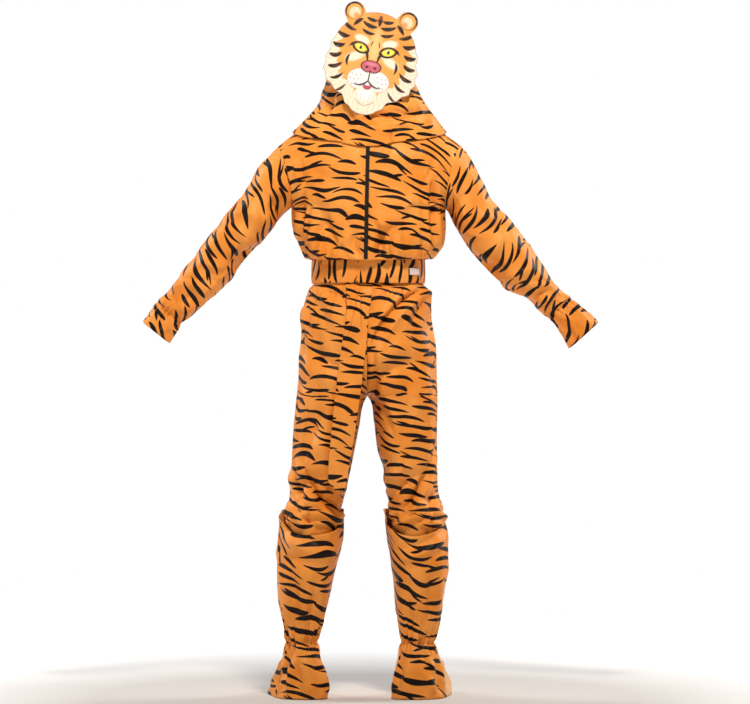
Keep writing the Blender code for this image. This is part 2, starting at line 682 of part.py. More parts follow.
def sleeve_base(side, u, v):
    """A sleeve: u runs round it from the underarm seam, v from the armhole to the hand cover's hem."""
    degrees = 180 - 360 * u
    angle = math.radians(degrees)
    cut = sample(SLEEVE_SECTIONS[side], v)
    upper = Vector((cut["up_x"], 0.0, cut["up_z"]))
    lower = Vector((cut["low_x"], 0.0, cut["low_z"]))
    ring = (upper + lower) / 2 + (upper - lower) / 2 * math.cos(angle)
    ring += Vector((0.0, cut["y"] + cut["depth"] * math.sin(angle), 0.0))
    start = sample(SLEEVE_SECTIONS[side], 0.0)
    plain = Vector(((start["up_x"] + start["low_x"]) / 2, 0.0, (start["up_z"] + start["low_z"]) / 2))
    first_half = Vector((start["up_x"] - start["low_x"], 0.0, start["up_z"] - start["low_z"])) / 2
    plain += first_half * math.cos(angle) + Vector((0.0, start["depth"] * math.sin(angle), 0.0))
    leave = 1 - soft_step(0.0, 0.14, v)
    outward = -1.0 if side == "left" else 1.0
    gap = Vector((outward * ARMHOLE_GAP, 0.0, -ARMHOLE_GAP * ARMHOLE_GAP_DROP))
    return ring + (armhole_point(side, degrees) - plain + gap) * leave


def sleeve_point(side, u, v):
    def base(a, b):
        return sleeve_base(side, a, b)

    degrees = 180 - 360 * u
    height = 0.0
    for along, middle, reach, slant, width, depth in SLEEVE_FOLDS:
        turn = (degrees - middle + 180) % 360 - 180
        if abs(turn) < reach:
            fade = math.cos(math.pi / 2 * turn / reach) ** 2
            away = (v - along - slant * turn / 90) * SLEEVE_LENGTH
            height += depth * fade * math.exp(-((away / width) ** 2))
    gather = math.exp(-(((v - WRISTS[side]) / WRIST_GATHER_REACH) ** 2))
    height += WRIST_GATHER_DEPTH * gather * math.cos(2 * math.pi * WRIST_GATHERS * u)
    height *= soft_step(0.0, 0.05, v)
    outward = 1.0 if side == "left" else -1.0
    return moved_out(base, u, v, height * outward)


# Hood


def hood_hem(face, u):
    """The hem: points of the blouse under it, moved out."""
    angle = math.pi * u
    side = "left" if u < 0.5 else "right"
    across = abs(math.cos(angle)) * HOOD_HEM_REACH
    drop = HOOD_HEM_DROP * math.sin(angle) ** 0.9
    if face == "front":
        drop *= HOOD_FRONT_DROP

    def base(a, b):
        return blouse_base(side, face, a, b)

    outward = 1.0 if (side == "left") == (face == "back") else -1.0
    place = moved_out(base, across, HOOD_HEM_TOP - drop, HOOD_LIFT * -outward)
    lift = HOOD_LIFT * abs(math.cos(angle)) ** 6
    return place + Vector((0.0, 0.0, lift))


def hood_ring(face, u, v):
    cut = sample(HOOD_SECTIONS, v)
    angle = math.pi * u
    sign = -1.0 if face == "back" else 1.0
    middle = (cut["left"] + cut["right"]) / 2
    x = middle - (cut["right"] - cut["left"]) / 2 * math.cos(angle)
    y = sign * cut[face] * math.sin(angle) ** 0.85
    z = cut["side_z"] + (cut[face + "_z"] - cut["side_z"]) * math.sin(angle) ** 1.3
    return Vector((x, y, z))


def hood_base(face, u, v):
    """The hood: u runs from the left side seam to the right one, v from the hem up."""
    point = hood_ring(face, u, v)
    if v < HOOD_HEM_BLEND:
        keep = 1 - soft_step(0.0, HOOD_HEM_BLEND, v)
        point = point + (hood_hem(face, u) - hood_ring(face, u, 0.0)) * keep
    return point


def hood_point(face, u, v):
    def base(a, b):
        return hood_base(face, a, b)

    plain = base(u, v)
    height = fold_height(HOOD_FOLDS, face, plain.x, plain.z)
    height *= soft_step(0.0, 0.10, u) * (1 - soft_step(0.90, 1.0, u)) * soft_step(0.06, 0.22, v)
    return moved_out(base, u, v, height if face == "back" else -height)


# Making the solids


def material(name, colour, roughness, sheen=0.0):
    made = bpy.data.materials.new(name)
    made.use_nodes = True
    shader = made.node_tree.nodes["Principled BSDF"]
    shader.inputs["Base Color"].default_value = (*colour, 1.0)
    shader.inputs["Roughness"].default_value = roughness
    shader.inputs["Sheen Weight"].default_value = sheen
    made.diffuse_color = (*colour, 1.0)
    return made


COSTUME = bpy.data.collections.new("tiger_costume")
bpy.context.scene.collection.children.link(COSTUME)
STRIPED_CLOTH = material("striped_polyester", (0.80, 0.30, 0.05), 0.5, 0.2)
PEACH_CLOTH = material("peach_polyester", (0.91, 0.55, 0.27), 0.55, 0.2)
TAPE_CLOTH = material("black_closure_tape", (0.010, 0.009, 0.009), 0.8)
PATCH_CLOTH = material("white_hook_tape", (0.75, 0.74, 0.74), 0.8)
MASK_BOARD = material("printed_foam_board", (0.86, 0.48, 0.16), 0.5)


def cloth_panel(name, grid, surface, cloth, wall=CLOTH_WALL):
    """A grid laid on a surface, given its wall towards the inside."""
    mesh = bpy.data.meshes.new(name)
    work = bmesh.new()
    bmesh.ops.create_grid(work, x_segments=grid[0], y_segments=grid[1], size=1.0)
    for vert in work.verts:
        u, v = (vert.co.x + 1) / 2, (vert.co.y + 1) / 2
        vert.co = surface(u, v)
    work.to_mesh(mesh)
    work.free()
    panel = bpy.data.objects.new(name, mesh)
    COSTUME.objects.link(panel)
    panel.data.materials.append(cloth)
    walls = panel.modifiers.new("wall", "SOLIDIFY")
    walls.thickness = wall
    walls.offset = -1.0
    walls.use_even_offset = False
    return panel


def inset(u, width):
    """Keeps a seam gap at both ends of a panel that is this wide."""
    gap = SEAM_GAP / 2 / width
    return gap + u * (1 - 2 * gap)


def blouse_back(side):
    def surface(u, v):
        across = inset(u, QUARTER_WIDTH)
        return blouse_point(side, "back", 1 - across if side == "left" else across, v**WAIST_CROWDING)

    return surface


def blouse_front(u, v):
    across = inset(u, ROUND_WIDTH)
    side = "left" if across > 0.5 else "right"
    return blouse_point(side, "front", abs(2 * across - 1), v**WAIST_CROWDING)


def trouser_panel(side, face):
    def surface(u, v):
        across = inset(u, QUARTER_WIDTH)
        forward = (side == "left") == (face == "back")
        return trouser_point(side, face, across if forward else 1 - across, 1 - v)

    return surface


def boot_panel(side, face):
    def surface(u, v):
        across = inset(u, QUARTER_WIDTH)
        return boot_point(side, face, across if side == "left" else 1 - across, 1 - v)

    return surface


def sleeve_panel(side):
    def surface(u, v):
        across = inset(u, ROUND_WIDTH)
        return sleeve_point(side, across if side == "right" else 1 - across, v)

    return surface


def hood_panel(face):
    def surface(u, v):
        across = inset(u, HOOD_WIDTH)
        return hood_point(face, across if face == "back" else 1 - across, v)

    return surface


def tape_surface(u, v):
    """The closure tape: points of the two back panels beside the centre seam, moved out."""
    up = TAPE_FROM + v * (TAPE_TO - TAPE_FROM)
    offset = (u - 0.5) * TAPE_WIDTH
    side = "left" if offset < 0 else "right"
    place = blouse_point(side, "back", abs(offset) / BACK_WIDTH, up)
    return Vector((blouse_seam_x(up) + offset, place.y - LAYER_GAP - TAPE_WALL, place.z))


def belt_surface(u, v):
    """The belt: one turn round the waist, its free end lying over its start."""
    turn = 360.0 + BELT_OVERLAP_DEGREES
    degrees = BELT_START_DEGREES + turn * u
    lift = BELT_OVERLAP_LIFT * soft_step(BELT_LIFT_FROM, BELT_LIFT_TO, u)
    angle = math.radians(degrees)
    half = BELT_HALF_WIDTH + lift
    depth = BELT_HALF_DEPTH + lift
    z = BELT_BOTTOM + (BELT_TOP - BELT_BOTTOM) * v
    return Vector((BELT_CENTRE_X + half * math.cos(angle), depth * math.sin(angle), z))


def patch_surface(u, v):
    """The white hook patch: points of the belt under it, moved out."""
    degrees = PATCH_DEGREES + (u - 0.5) * math.degrees(2 * PATCH_WIDTH / (BELT_HALF_WIDTH + BELT_HALF_DEPTH))
    angle = math.radians(degrees)
    lift = LAYER_GAP + PATCH_WALL
    z = PATCH_Z + (v - 0.5) * PATCH_HEIGHT
    half = BELT_HALF_WIDTH + lift
    depth = BELT_HALF_DEPTH + lift
    return Vector((BELT_CENTRE_X + half * math.cos(angle), depth * math.sin(angle), z))


def tail_surface(u, v):
    """The tail: a flat doubled strip with a pleat that opens down from its top."""
    down = (1 - v) ** TAIL_CROWDING
    cut = sample(TAIL_SECTIONS, down)
    x = cut["left"] + (cut["right"] - cut["left"]) * u
    open_width = TAIL_PLEAT_TOP_WIDTH + TAIL_PLEAT_OPENING * min(down / TAIL_PLEAT_LENGTH, 1.0)
    fade = 1 - soft_step(0.6, 1.0, down / TAIL_PLEAT_LENGTH)
    pleat = TAIL_PLEAT_DEPTH * fade * math.exp(-(((u - 0.50) / open_width) ** 2))
    sway = TAIL_SWAY * math.sin(2 * math.pi * (TAIL_SWAYS * down + TAIL_SWAY_SLANT * u))
    return Vector((x, -(cut["back"] + pleat + sway), cut["z"]))


def mask_outline(degrees):
    """How far the face reaches from its middle: a rounded head, fuller cheeks with soft tufts, and a chin."""
    angle = math.radians(degrees)
    across, up = math.sin(angle), math.cos(angle)
    height = MASK_TOP if up > 0 else -MASK_CHIN
    reach = 1 / math.sqrt((across / MASK_HALF_WIDTH) ** 2 + (up / height) ** 2)
    cheek = math.exp(-(((abs(degrees) - CHEEK_DEGREES) / CHEEK_SPREAD) ** 2))
    jaw = math.exp(-(((abs(degrees) - JAW_DEGREES) / JAW_SPREAD) ** 2))
    return reach * (1 + CHEEK_RISE * cheek - JAW_DROP * jaw)


def mask_height(x, z):
    """The face leans against the hood and bends round it."""
    return MASK_BEND * x * x + MASK_LEAN * z


def mask_edge():
    """The cut edge in order round the face: the head's outline and the outer arcs of two round ears."""
    ears = [Vector((sign * EAR_ACROSS, EAR_UP)) for sign in (-1, 1)]
    half = math.degrees(math.asin(EAR_RADIUS / ears[0].length))
    middle = math.degrees(math.atan2(EAR_ACROSS, EAR_UP))
    edge = []
    for step in range(FACE_STEPS):
        degrees = -180 + 360 * step / FACE_STEPS
        if abs(abs(degrees) - middle) > half + EAR_CLEARANCE_DEGREES:
            angle = math.radians(degrees)
            reach = mask_outline(degrees)
            edge.append((degrees, Vector((math.sin(angle), math.cos(angle))) * reach))
    for sign, ear in zip((-1, 1), ears):
        for step in range(EAR_STEPS + 1):
            turn = math.radians(sign * middle + EAR_ARC_START + EAR_ARC_TURN * step / EAR_STEPS)
            place = ear + Vector((math.sin(turn), math.cos(turn))) * EAR_RADIUS
            edge.append((math.degrees(math.atan2(place.x, place.y)), place))
    return [place for degrees, place in sorted(edge, key=lambda item: item[0])]


def make_mask():
    """A flat sheet cut to the outline, with two round ears."""
    outline = mask_edge()
    steps = len(outline)
    work = bmesh.new()
    centre = work.verts.new((0.0, 0.0, 0.0))
    loops = []
    for ring in range(1, FACE_RINGS + 1):
        share = ring / FACE_RINGS
        loops.append([work.verts.new((p.x * share, 0.0, p.y * share)) for p in outline])
    for step in range(steps):
        after = (step + 1) % steps
        work.faces.new((centre, loops[0][step], loops[0][after]))
        for ring in range(FACE_RINGS - 1):
            inner, outer = loops[ring], loops[ring + 1]
            work.faces.new((inner[step], outer[step], outer[after], inner[after]))
    tilt = math.radians(MASK_TILT_DEGREES)
    for vert in work.verts:
        x, z = vert.co.x, vert.co.z
        turned_x = x * math.cos(tilt) + z * math.sin(tilt)
        turned_z = z * math.cos(tilt) - x * math.sin(tilt)
        vert.co = MASK_CENTRE + Vector((turned_x, mask_height(x, z), turned_z))
    bmesh.ops.recalc_face_normals(work, faces=work.faces[:])
    mesh = bpy.data.meshes.new("face_mask")
    work.to_mesh(mesh)
    work.free()
    mask = bpy.data.objects.new("face_mask", mesh)
    COSTUME.objects.link(mask)
    mask.data.materials.append(MASK_BOARD)
    walls = mask.modifiers.new("wall", "SOLIDIFY")
    walls.thickness = MASK_WALL
    walls.offset = 0.0
    return mask


for side in ("left", "right"):
    cloth_panel("blouse_back_" + side, BLOUSE_BACK_GRID, blouse_back(side), STRIPED_CLOTH)
    cloth_panel("sleeve_" + side, SLEEVE_GRID, sleeve_panel(side), STRIPED_CLOTH)
    for face in ("back", "front"):
        grid = (TROUSER_STEPS, len(TROUSER_LEVELS) - 1)
        cloth_panel("trousers_" + face + "_" + side, grid, trouser_panel(side, face), STRIPED_CLOTH)
        boot_cloth = STRIPED_CLOTH if face == "back" else PEACH_CLOTH
        cloth_panel("boot_" + face + "_" + side, BOOT_GRID, boot_panel(side, face), boot_cloth)
cloth_panel("blouse_front", BLOUSE_FRONT_GRID, blouse_front, STRIPED_CLOTH)
cloth_panel("hood_back", HOOD_BACK_GRID, hood_panel("back"), STRIPED_CLOTH)
cloth_panel("hood_front", HOOD_FRONT_GRID, hood_panel("front"), STRIPED_CLOTH)
cloth_panel("closure_tape", (2, TAPE_STEPS), tape_surface, TAPE_CLOTH, TAPE_WALL)
cloth_panel("belt", (BELT_STEPS, 2), belt_surface, STRIPED_CLOTH, BELT_WALL)
cloth_panel("belt_hook_patch", (4, 2), patch_surface, PATCH_CLOTH, PATCH_WALL)
cloth_panel("tail", (TAIL_COLUMNS, TAIL_STEPS), tail_surface, STRIPED_CLOTH, TAIL_WALL)
make_mask()
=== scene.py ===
import math

import bpy
import numpy as np
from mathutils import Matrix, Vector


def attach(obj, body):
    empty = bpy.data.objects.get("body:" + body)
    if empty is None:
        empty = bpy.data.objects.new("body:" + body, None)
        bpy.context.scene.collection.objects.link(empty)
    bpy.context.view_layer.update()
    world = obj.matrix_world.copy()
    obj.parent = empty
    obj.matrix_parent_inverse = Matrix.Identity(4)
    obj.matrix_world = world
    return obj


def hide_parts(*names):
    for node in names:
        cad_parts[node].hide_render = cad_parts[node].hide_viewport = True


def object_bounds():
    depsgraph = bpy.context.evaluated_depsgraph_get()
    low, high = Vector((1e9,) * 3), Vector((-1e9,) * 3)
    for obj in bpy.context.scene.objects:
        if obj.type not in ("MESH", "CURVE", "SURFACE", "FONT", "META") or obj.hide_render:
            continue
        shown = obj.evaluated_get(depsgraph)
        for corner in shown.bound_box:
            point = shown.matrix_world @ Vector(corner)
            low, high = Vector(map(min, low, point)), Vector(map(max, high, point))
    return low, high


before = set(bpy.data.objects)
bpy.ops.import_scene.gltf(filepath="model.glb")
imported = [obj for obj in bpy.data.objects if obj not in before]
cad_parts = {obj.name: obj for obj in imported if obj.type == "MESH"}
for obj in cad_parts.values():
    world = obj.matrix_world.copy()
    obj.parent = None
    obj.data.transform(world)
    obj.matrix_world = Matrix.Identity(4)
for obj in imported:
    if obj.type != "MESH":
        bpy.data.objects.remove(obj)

# Tiger costume as worn, seen from the side with the closure tape.
# Metres, +Z up, the seen side towards -Y. The cloth lies on the solids' own surfaces, with finer folds.

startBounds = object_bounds()

# Colours as seen on a screen
colours = {
    "orange": "#F19C47",
    "orangeDeep": "#E58428",
    "reverse": "#F0B877",
    "stripe": "#0E0705",
    "stripeBrown": "#190D09",
    "peach": "#F4BE86",
    "tape": "#120F0F",
    "tapeLoop": "#2B2626",
    "patch": "#F0DAD4",
    "patchHooks": "#D3CBD0",
    "floor": "#CFCCCA",
    "furOrange": "#F3A04A",
    "furDeep": "#E5822A",
    "furPale": "#F9C079",
    "ruff": "#F2DEC6",
    "muzzle": "#E9E3E1",
    "earInner": "#E8CDAF",
    "nose": "#C2596A",
    "tongue": "#B5485A",
    "iris": "#EFE04E",
    "irisEdge": "#B9951F",
    "line": "#17100F",
    "boardBack": "#DAD3C9",
    "boardCells": "#C9C1B6",
    "noseLight": "#D98591",
    "reverseInk": "#7A4A28",
    "peachDeep": "#EBB077",
    "floorPale": "#D8D5D2",
    "lampWarm": "#FFF6EA",
    "lampWhite": "#FFFFFF",
}

# Cloth
cloth = {
    "wall": 0.0012,
    "seamGap": 0.0002,
    "hemWidth": 0.012,
    "hemLift": 0.0007,
    "livelyDepth": 0.0024,
    "livelyRidges": 10,
    "crispness": 1.2,
    "foldStrength": 1.45,
    "lip": 0.55,
    "lipAt": 1.9,
    "stitchDepth": 0.0007,
}

# Shape shared with the solids
blouseShape = {
    "neckHalfWidth": 0.082,
    "neckPointHeight": 0.034,
    "neckBackHeight": 0.020,
    "neckFrontHeight": -0.012,
    "shoulderStart": 0.52,
    "shoulderGap": 0.0026,
    "armpitAt": 0.46,
    "armholeDepth": 0.078,
    "armholeBow": 0.010,
    "armholeGap": 0.0002,
    "seamTopX": 0.004,
    "seamBottomX": -0.004,
    "waistCrowding": 1.35,
}
footSquare = 0.22
trouserSeamX = 0.0003
hemStart = 0.992
hoodShape = {"hemReach": 0.70, "hemDrop": 0.17, "lift": 0.0043, "blend": 0.45}


def sectionTable(columns, *rows):
    # lengths are in millimetres; shares, angles and turns are plain numbers
    plain = ("up", "down", "along", "angle", "turn")
    scale = [1 if name in plain else 1000 for name in columns]
    return {"columns": columns, "rows": np.array(rows, float) / scale}


blouseMiddle = sectionTable(
    ("up", "z", "back", "front"),
    (0, -332.5, 98.5, 96), (0.04, -332.5, 117, 113), (0.08, -341.5, 125.5, 119), (0.13, -335, 132, 123),
    (0.2, -306, 135, 125), (0.34, -250, 133, 122), (0.5, -180, 129, 118), (0.66, -110, 124, 113),
    (0.82, -50, 115, 105), (0.93, -6, 96, 88), (1, 20, 72, 66),
)
blouseSides = sectionTable(
    ("up", "z", "left", "right"),
    (0, -332.5, -137, 142), (0.04, -332.5, -150, 160), (0.08, -334.5, -160, 171.5),
    (0.13, -321, -168, 185), (0.2, -296, -178, 200), (0.32, -252, -194, 205), (0.4, -222, -196.5, 204),
    (0.46, -200.2, -196.3, 202.8),
)
armholes = {
    "left": {"top": (-0.2314, -0.0442), "bottom": (-0.1963, -0.2002)},
    "right": {"top": (0.2444, -0.0416), "bottom": (0.2028, -0.2054)},
}
legColumns = ("z", "outer", "inner", "back", "front")
legSections = {
    "left": sectionTable(
        legColumns,
        (-333.1, -137.2, 142, 98.5, 96), (-401, -140, 146.5, 99, 96), (-414, -151, 159, 112, 106),
        (-439.4, -157.5, 163.5, 123, 113), (-470.6, -166, 164, 132, 119), (-546, -171.6, 156, 134, 120),
        (-611, -175.5, 105, 128, 116), (-660, -179.5, 45, 120, 112), (-696.8, -183.3, -2.6, 113, 108),
        (-773.5, -191.1, -20.8, 102, 101), (-865.8, -196.3, -39, 92, 93), (-936, -200.2, -54.6, 83, 85),
        (-975, -204.1, -65, 78, 81), (-1000, -208.5, -70, 75, 75), (-1030, -208, -74, 74, 72),
        (-1066, -204, -79, 71, 70),
    ),
    "right": sectionTable(
        legColumns,
        (-333.1, 142, -137.2, 98.5, 96), (-401, 146.5, -140, 99, 96), (-414, 159, -151, 112, 106),
        (-439.4, 163.5, -157.5, 123, 113), (-491.4, 168, -164, 133, 119.5),
        (-564.2, 179.4, -148, 134, 120), (-611, 181, -105, 128, 116), (-660, 182, -45, 120, 112),
        (-696.8, 182, 5, 113, 108), (-751.4, 182, 17.2, 105, 103), (-834.6, 182, 28, 96, 96),
        (-881.4, 182.8, 44.2, 89, 90), (-936, 185, 52, 83, 85), (-972.4, 193, 57.2, 78, 81),
        (-996, 197, 60, 75, 75), (-1030, 200.6, 64, 74, 72), (-1066, 185, 71, 71, 70),
    ),
}
bootColumns = ("z", "lowX", "highX", "back", "front", "turn")
bootSections = {
    "left": sectionTable(
        bootColumns,
        (-990, -226.2, -60.5, 83, 83, 0), (-1024.4, -228.8, -59.8, 85, 84, 0),
        (-1079, -232.2, -65, 88, 84, 0), (-1155.7, -234, -85.8, 85, 79, 0),
        (-1214.2, -231.4, -98.8, 76, 71, 0), (-1253.2, -224.9, -109.2, 68, 65, 0),
        (-1292.2, -216.8, -119.6, 59, 59, 0), (-1320, -211.6, -127.8, 51, 54, -0.02),
        (-1331.2, -210.6, -130, 49, 54, -0.04), (-1346.8, -214.5, -126.1, 54, 70, -0.08),
        (-1388.4, -226.2, -118.3, 64, 106, -0.13), (-1413, -235, -116.5, 69, 150, -0.18),
        (-1437.8, -247, -115.7, 73, 185, -0.22), (-1474, -263.6, -114.4, 75, 200, -0.25),
    ),
    "right": sectionTable(
        bootColumns,
        (-990, 47, 201.5, 83, 83, 0), (-1032.2, 48.1, 204.1, 85, 84, 0), (-1102.4, 59.8, 210.6, 88, 84, 0),
        (-1154.4, 66.3, 208, 85, 79, 0), (-1206.4, 71.5, 200.2, 77, 72, 0),
        (-1245.4, 76.7, 193.7, 70, 66, 0), (-1284.4, 81.9, 187.2, 60, 60, 0),
        (-1320, 87.8, 175.8, 51, 54, 0.02), (-1331.2, 88.4, 174.2, 49, 54, 0.04),
        (-1346.8, 85.8, 179.4, 54, 70, 0.08), (-1388.4, 81.9, 196.3, 64, 106, 0.13),
        (-1413, 80.2, 206, 69, 150, 0.16), (-1440, 78.5, 216, 73, 185, 0.19),
        (-1474, 74.1, 225, 75, 200, 0.21),
    ),
}
bootTops = {
    "left": sectionTable(
        ("angle", "z"),
        (-90, -985), (0, -996), (45, -1040), (100, -1049), (150, -1032), (180, -1008), (270, -985),
    ),
    "right": sectionTable(
        ("angle", "z"),
        (-90, -985), (0, -1014), (45, -1038), (100, -1052), (150, -1030), (180, -1000), (270, -985),
    ),
}
sleeveColumns = ("along", "upX", "upZ", "lowX", "lowZ", "y", "depth")
sleeveSections = {
    "left": sectionTable(
        sleeveColumns,
        (0, -231.4, -44.2, -196.3, -200.2, 0, 78), (0.08, -274.3, -88.4, -223.6, -226.2, 0, 74),
        (0.2, -314.6, -154.7, -247, -257.4, 0, 70), (0.29, -348.4, -197.6, -273, -288.6, 1, 68),
        (0.38, -382.2, -239.2, -296.4, -312, 2, 66), (0.48, -421.2, -288.6, -327.6, -348.4, 4, 63),
        (0.56, -450, -331, -358.8, -392.6, 6, 59), (0.7, -486.2, -385, -418.6, -447.2, 10, 54),
        (0.81, -522.6, -426.4, -460.2, -487, 14, 48), (0.89, -546, -446, -483.6, -502, 16, 37),
        (0.94, -564.2, -470.6, -496.6, -527.8, 18, 44), (1, -582.4, -499.2, -514.8, -553.8, 20, 48),
    ),
    "right": sectionTable(
        sleeveColumns,
        (0, 244.4, -41.6, 202.8, -205.4, 0, 78), (0.08, 280, -92, 212, -215, 0, 74),
        (0.2, 325, -182, 236.6, -262.6, 0, 70), (0.29, 361.4, -226.2, 267.8, -312, 1, 68),
        (0.38, 395.2, -265.2, 301.6, -351, 2, 66), (0.48, 429, -306.8, 338, -387.4, 4, 63),
        (0.58, 468, -364, 377, -416, 6, 59), (0.69, 491.4, -397.8, 413.4, -434.2, 10, 53),
        (0.78, 508, -419, 442, -461, 14, 48), (0.87, 533, -439.4, 473.2, -489, 16, 37),
        (0.94, 569.4, -466, 496.6, -514.8, 18, 44), (1, 602, -500, 527.8, -566.8, 20, 48),
    ),
}
hoodSections = sectionTable(
    ("up", "left", "right", "sideZ", "back", "backZ", "front", "frontZ"),
    (0, -196, 201, 3, 118, -36, 106, -75), (0.14, -166, 181, 30, 115, -4, 104, -40),
    (0.3, -127, 151, 70, 108, 35, 96, -8), (0.5, -109, 127, 118, 101, 90, 90, 24),
    (0.7, -98, 114, 155, 97, 138, 90, 46), (1, -90, 104, 196, 93, 196, 92, 68),
)
tailSections = sectionTable(
    ("down", "z", "left", "right", "back"),
    (0, -403, -54.5, 14.5, 100.8), (0.02, -414, -53.5, 13.8, 115.8), (0.06, -434, -52, 12, 126),
    (0.14, -478, -53, 6, 139), (0.3, -564, -65, -2, 142), (0.5, -676, -80, -15.5, 137),
    (0.7, -786, -91, -31, 126), (0.86, -874, -99, -46, 117), (0.93, -910, -98.5, -52, 114),
    (0.975, -928, -88, -56, 112), (1, -936, -74, -60, 111.5),
)


# Small helpers


def softStep(start, end, value):
    part = np.clip((value - start) / (end - start), 0.0, 1.0)
    return part * part * (3 - 2 * part)


def sample(table, at):
    # every column of a table at the given places of its first column, on a smooth curve through the rows
    rows = table["rows"]
    keys = rows[:, 0]
    at = np.asarray(at, float)
    if keys[0] > keys[-1]:
        keys, at = -keys, -at
    at = np.clip(at, keys[0], keys[-1])
    index = np.clip(np.searchsorted(keys, at, side="right") - 1, 0, len(keys) - 2)
    span = keys[index + 1] - keys[index]
    part = (at - keys[index]) / span
    low = np.maximum(np.arange(len(keys)) - 1, 0)
    high = np.minimum(np.arange(len(keys)) + 1, len(keys) - 1)
    values = {}
    for column, name in enumerate(table["columns"]):
        line = rows[:, column]
        slope = (line[high] - line[low]) / (keys[high] - keys[low])
        values[name] = (
            line[index] * (2 * part**3 - 3 * part**2 + 1)
            + slope[index] * span * (part**3 - 2 * part**2 + part)
            + line[index + 1] * (3 * part**2 - 2 * part**3)
            + slope[index + 1] * span * (part**3 - part**2)
        )
    return values


def points(x, y, z):
    x, y, z = np.broadcast_arrays(x, y, z)
    return np.stack((x, y, z), axis=-1).astype(float)


def unitNormals(surface):
    normal = np.cross(np.gradient(surface, axis=1), np.gradient(surface, axis=0))
    return normal / np.maximum(np.linalg.norm(normal, axis=-1, keepdims=True), 1e-12)


def movedOut(surface, height):
    return surface + unitNormals(surface) * height[..., None]


def signedPower(value, power):
    return np.sign(value) * np.abs(value) ** power


def plainGrid(columns, rows):
    # u runs across and v up, both from 0 to 1
    return np.meshgrid(np.linspace(0, 1, columns + 1), np.linspace(0, 1, rows + 1))


def grid(columns, rows, width):
    # u runs across the panel with half a seam gap left at each end, v runs up it
    gap = cloth["seamGap"] / 2 / width
    u, v = plainGrid(columns, rows)
    return gap + u * (1 - 2 * gap), v


def sideFade(u, width):
    # nothing at a panel's two side edges, so that its seams stay where they are
    return softStep(0.0, width, u) * (1 - softStep(1 - width, 1.0, u))


# The costume's surfaces


def armholePoint(side, degrees):
    # 0 degrees is the armhole's top, -90 its back, 90 its front and 180 the armpit
    ends = armholes[side]
    angle = np.radians(degrees)
    inward = 1.0 if side == "left" else -1.0
    topX, topZ = ends["top"]
    lowX, lowZ = ends["bottom"]
    bow = inward * blouseShape["armholeBow"] * np.abs(np.sin(angle))
    x = (topX + lowX) / 2 + (topX - lowX) / 2 * np.cos(angle) + bow
    z = (topZ + lowZ) / 2 + (topZ - lowZ) / 2 * np.cos(angle)
    return x, blouseShape["armholeDepth"] * np.sin(angle), z


def seamX(v):
    return blouseShape["seamBottomX"] + (blouseShape["seamTopX"] - blouseShape["seamBottomX"]) * v


def blouseArc(u, centre, edge, reach):
    across = np.sin(u * reach) / np.sin(reach)
    falling = (np.cos(u * reach) - np.cos(reach)) / (1 - np.cos(reach))
    x = centre[0] + (edge[0] - centre[0]) * across
    y = edge[1] + (centre[1] - edge[1]) * falling
    z = centre[2] + (edge[2] - centre[2]) * across**1.6
    return x, y, z


def blouseTop(side, face, u):
    # the plain end of a quarter at its top, and the neckline and shoulder seam that it is drawn to
    shape = blouseShape
    sign = -1.0 if face == "back" else 1.0
    middle = sample(blouseMiddle, 1.0)
    depth = float(middle[face])
    edge = tuple(float(part) for part in armholePoint(side, 0.0))
    plain = blouseArc(u, (seamX(1.0), sign * depth, float(middle["z"])), edge, math.radians(78))
    share = np.minimum(np.abs(plain[0]) / shape["neckHalfWidth"], 1.0)
    neckZ = shape["neckBackHeight"] if face == "back" else shape["neckFrontHeight"]
    inNeck = np.abs(plain[0]) < shape["neckHalfWidth"]
    run = abs(edge[0]) - shape["neckHalfWidth"]
    slope = np.clip((np.abs(plain[0]) - shape["neckHalfWidth"]) / run, 0, 1)
    collarZ = neckZ + (shape["neckPointHeight"] - neckZ) * share**2
    collarY = sign * np.maximum(depth * np.sqrt(np.maximum(1 - share**2, 0)), shape["shoulderGap"] / 2)
    seamZ = shape["neckPointHeight"] + (edge[2] - shape["neckPointHeight"]) * slope**1.7
    topY = np.where(inNeck, collarY, sign * shape["shoulderGap"] / 2)
    return plain, (plain[0], topY, np.where(inNeck, collarZ, seamZ))


def blouseQuarter(side, face, u, v):
    # u runs from the centre to the side seam or armhole, v from the waist up
    sign = -1.0 if face == "back" else 1.0
    armpitAt, shoulderStart = blouseShape["armpitAt"], blouseShape["shoulderStart"]
    middle = sample(blouseMiddle, v)
    sides = sample(blouseSides, np.minimum(v, armpitAt))
    risen = np.clip((v - armpitAt) / (1 - armpitAt), 0, 1)
    hole = armholePoint(side, sign * (180 - 180 * risen))
    above = v > armpitAt
    edge = (
        np.where(above, hole[0], sides[side]),
        np.where(above, hole[1], 0.0),
        np.where(above, hole[2], sides["z"]),
    )
    upperReach = np.radians(90 - 42 * softStep(0.0, 0.5, risen) + 30 * softStep(0.6, 1.0, risen))
    reach = np.where(above, upperReach, math.pi / 2)
    x, y, z = blouseArc(u, (seamX(v), sign * middle[face], middle["z"]), edge, reach)
    rise = np.clip((v - shoulderStart) / (1 - shoulderStart), 0, 1)
    pullY = 1 - np.sqrt(np.maximum(1 - rise**2.6, 0.0))
    pullZ = rise**2
    end, top = blouseTop(side, face, u)
    x, y, z = x + (top[0] - end[0]) * pullZ, y + (top[1] - end[1]) * pullY, z + (top[2] - end[2]) * pullZ
    return points(x, y, z)


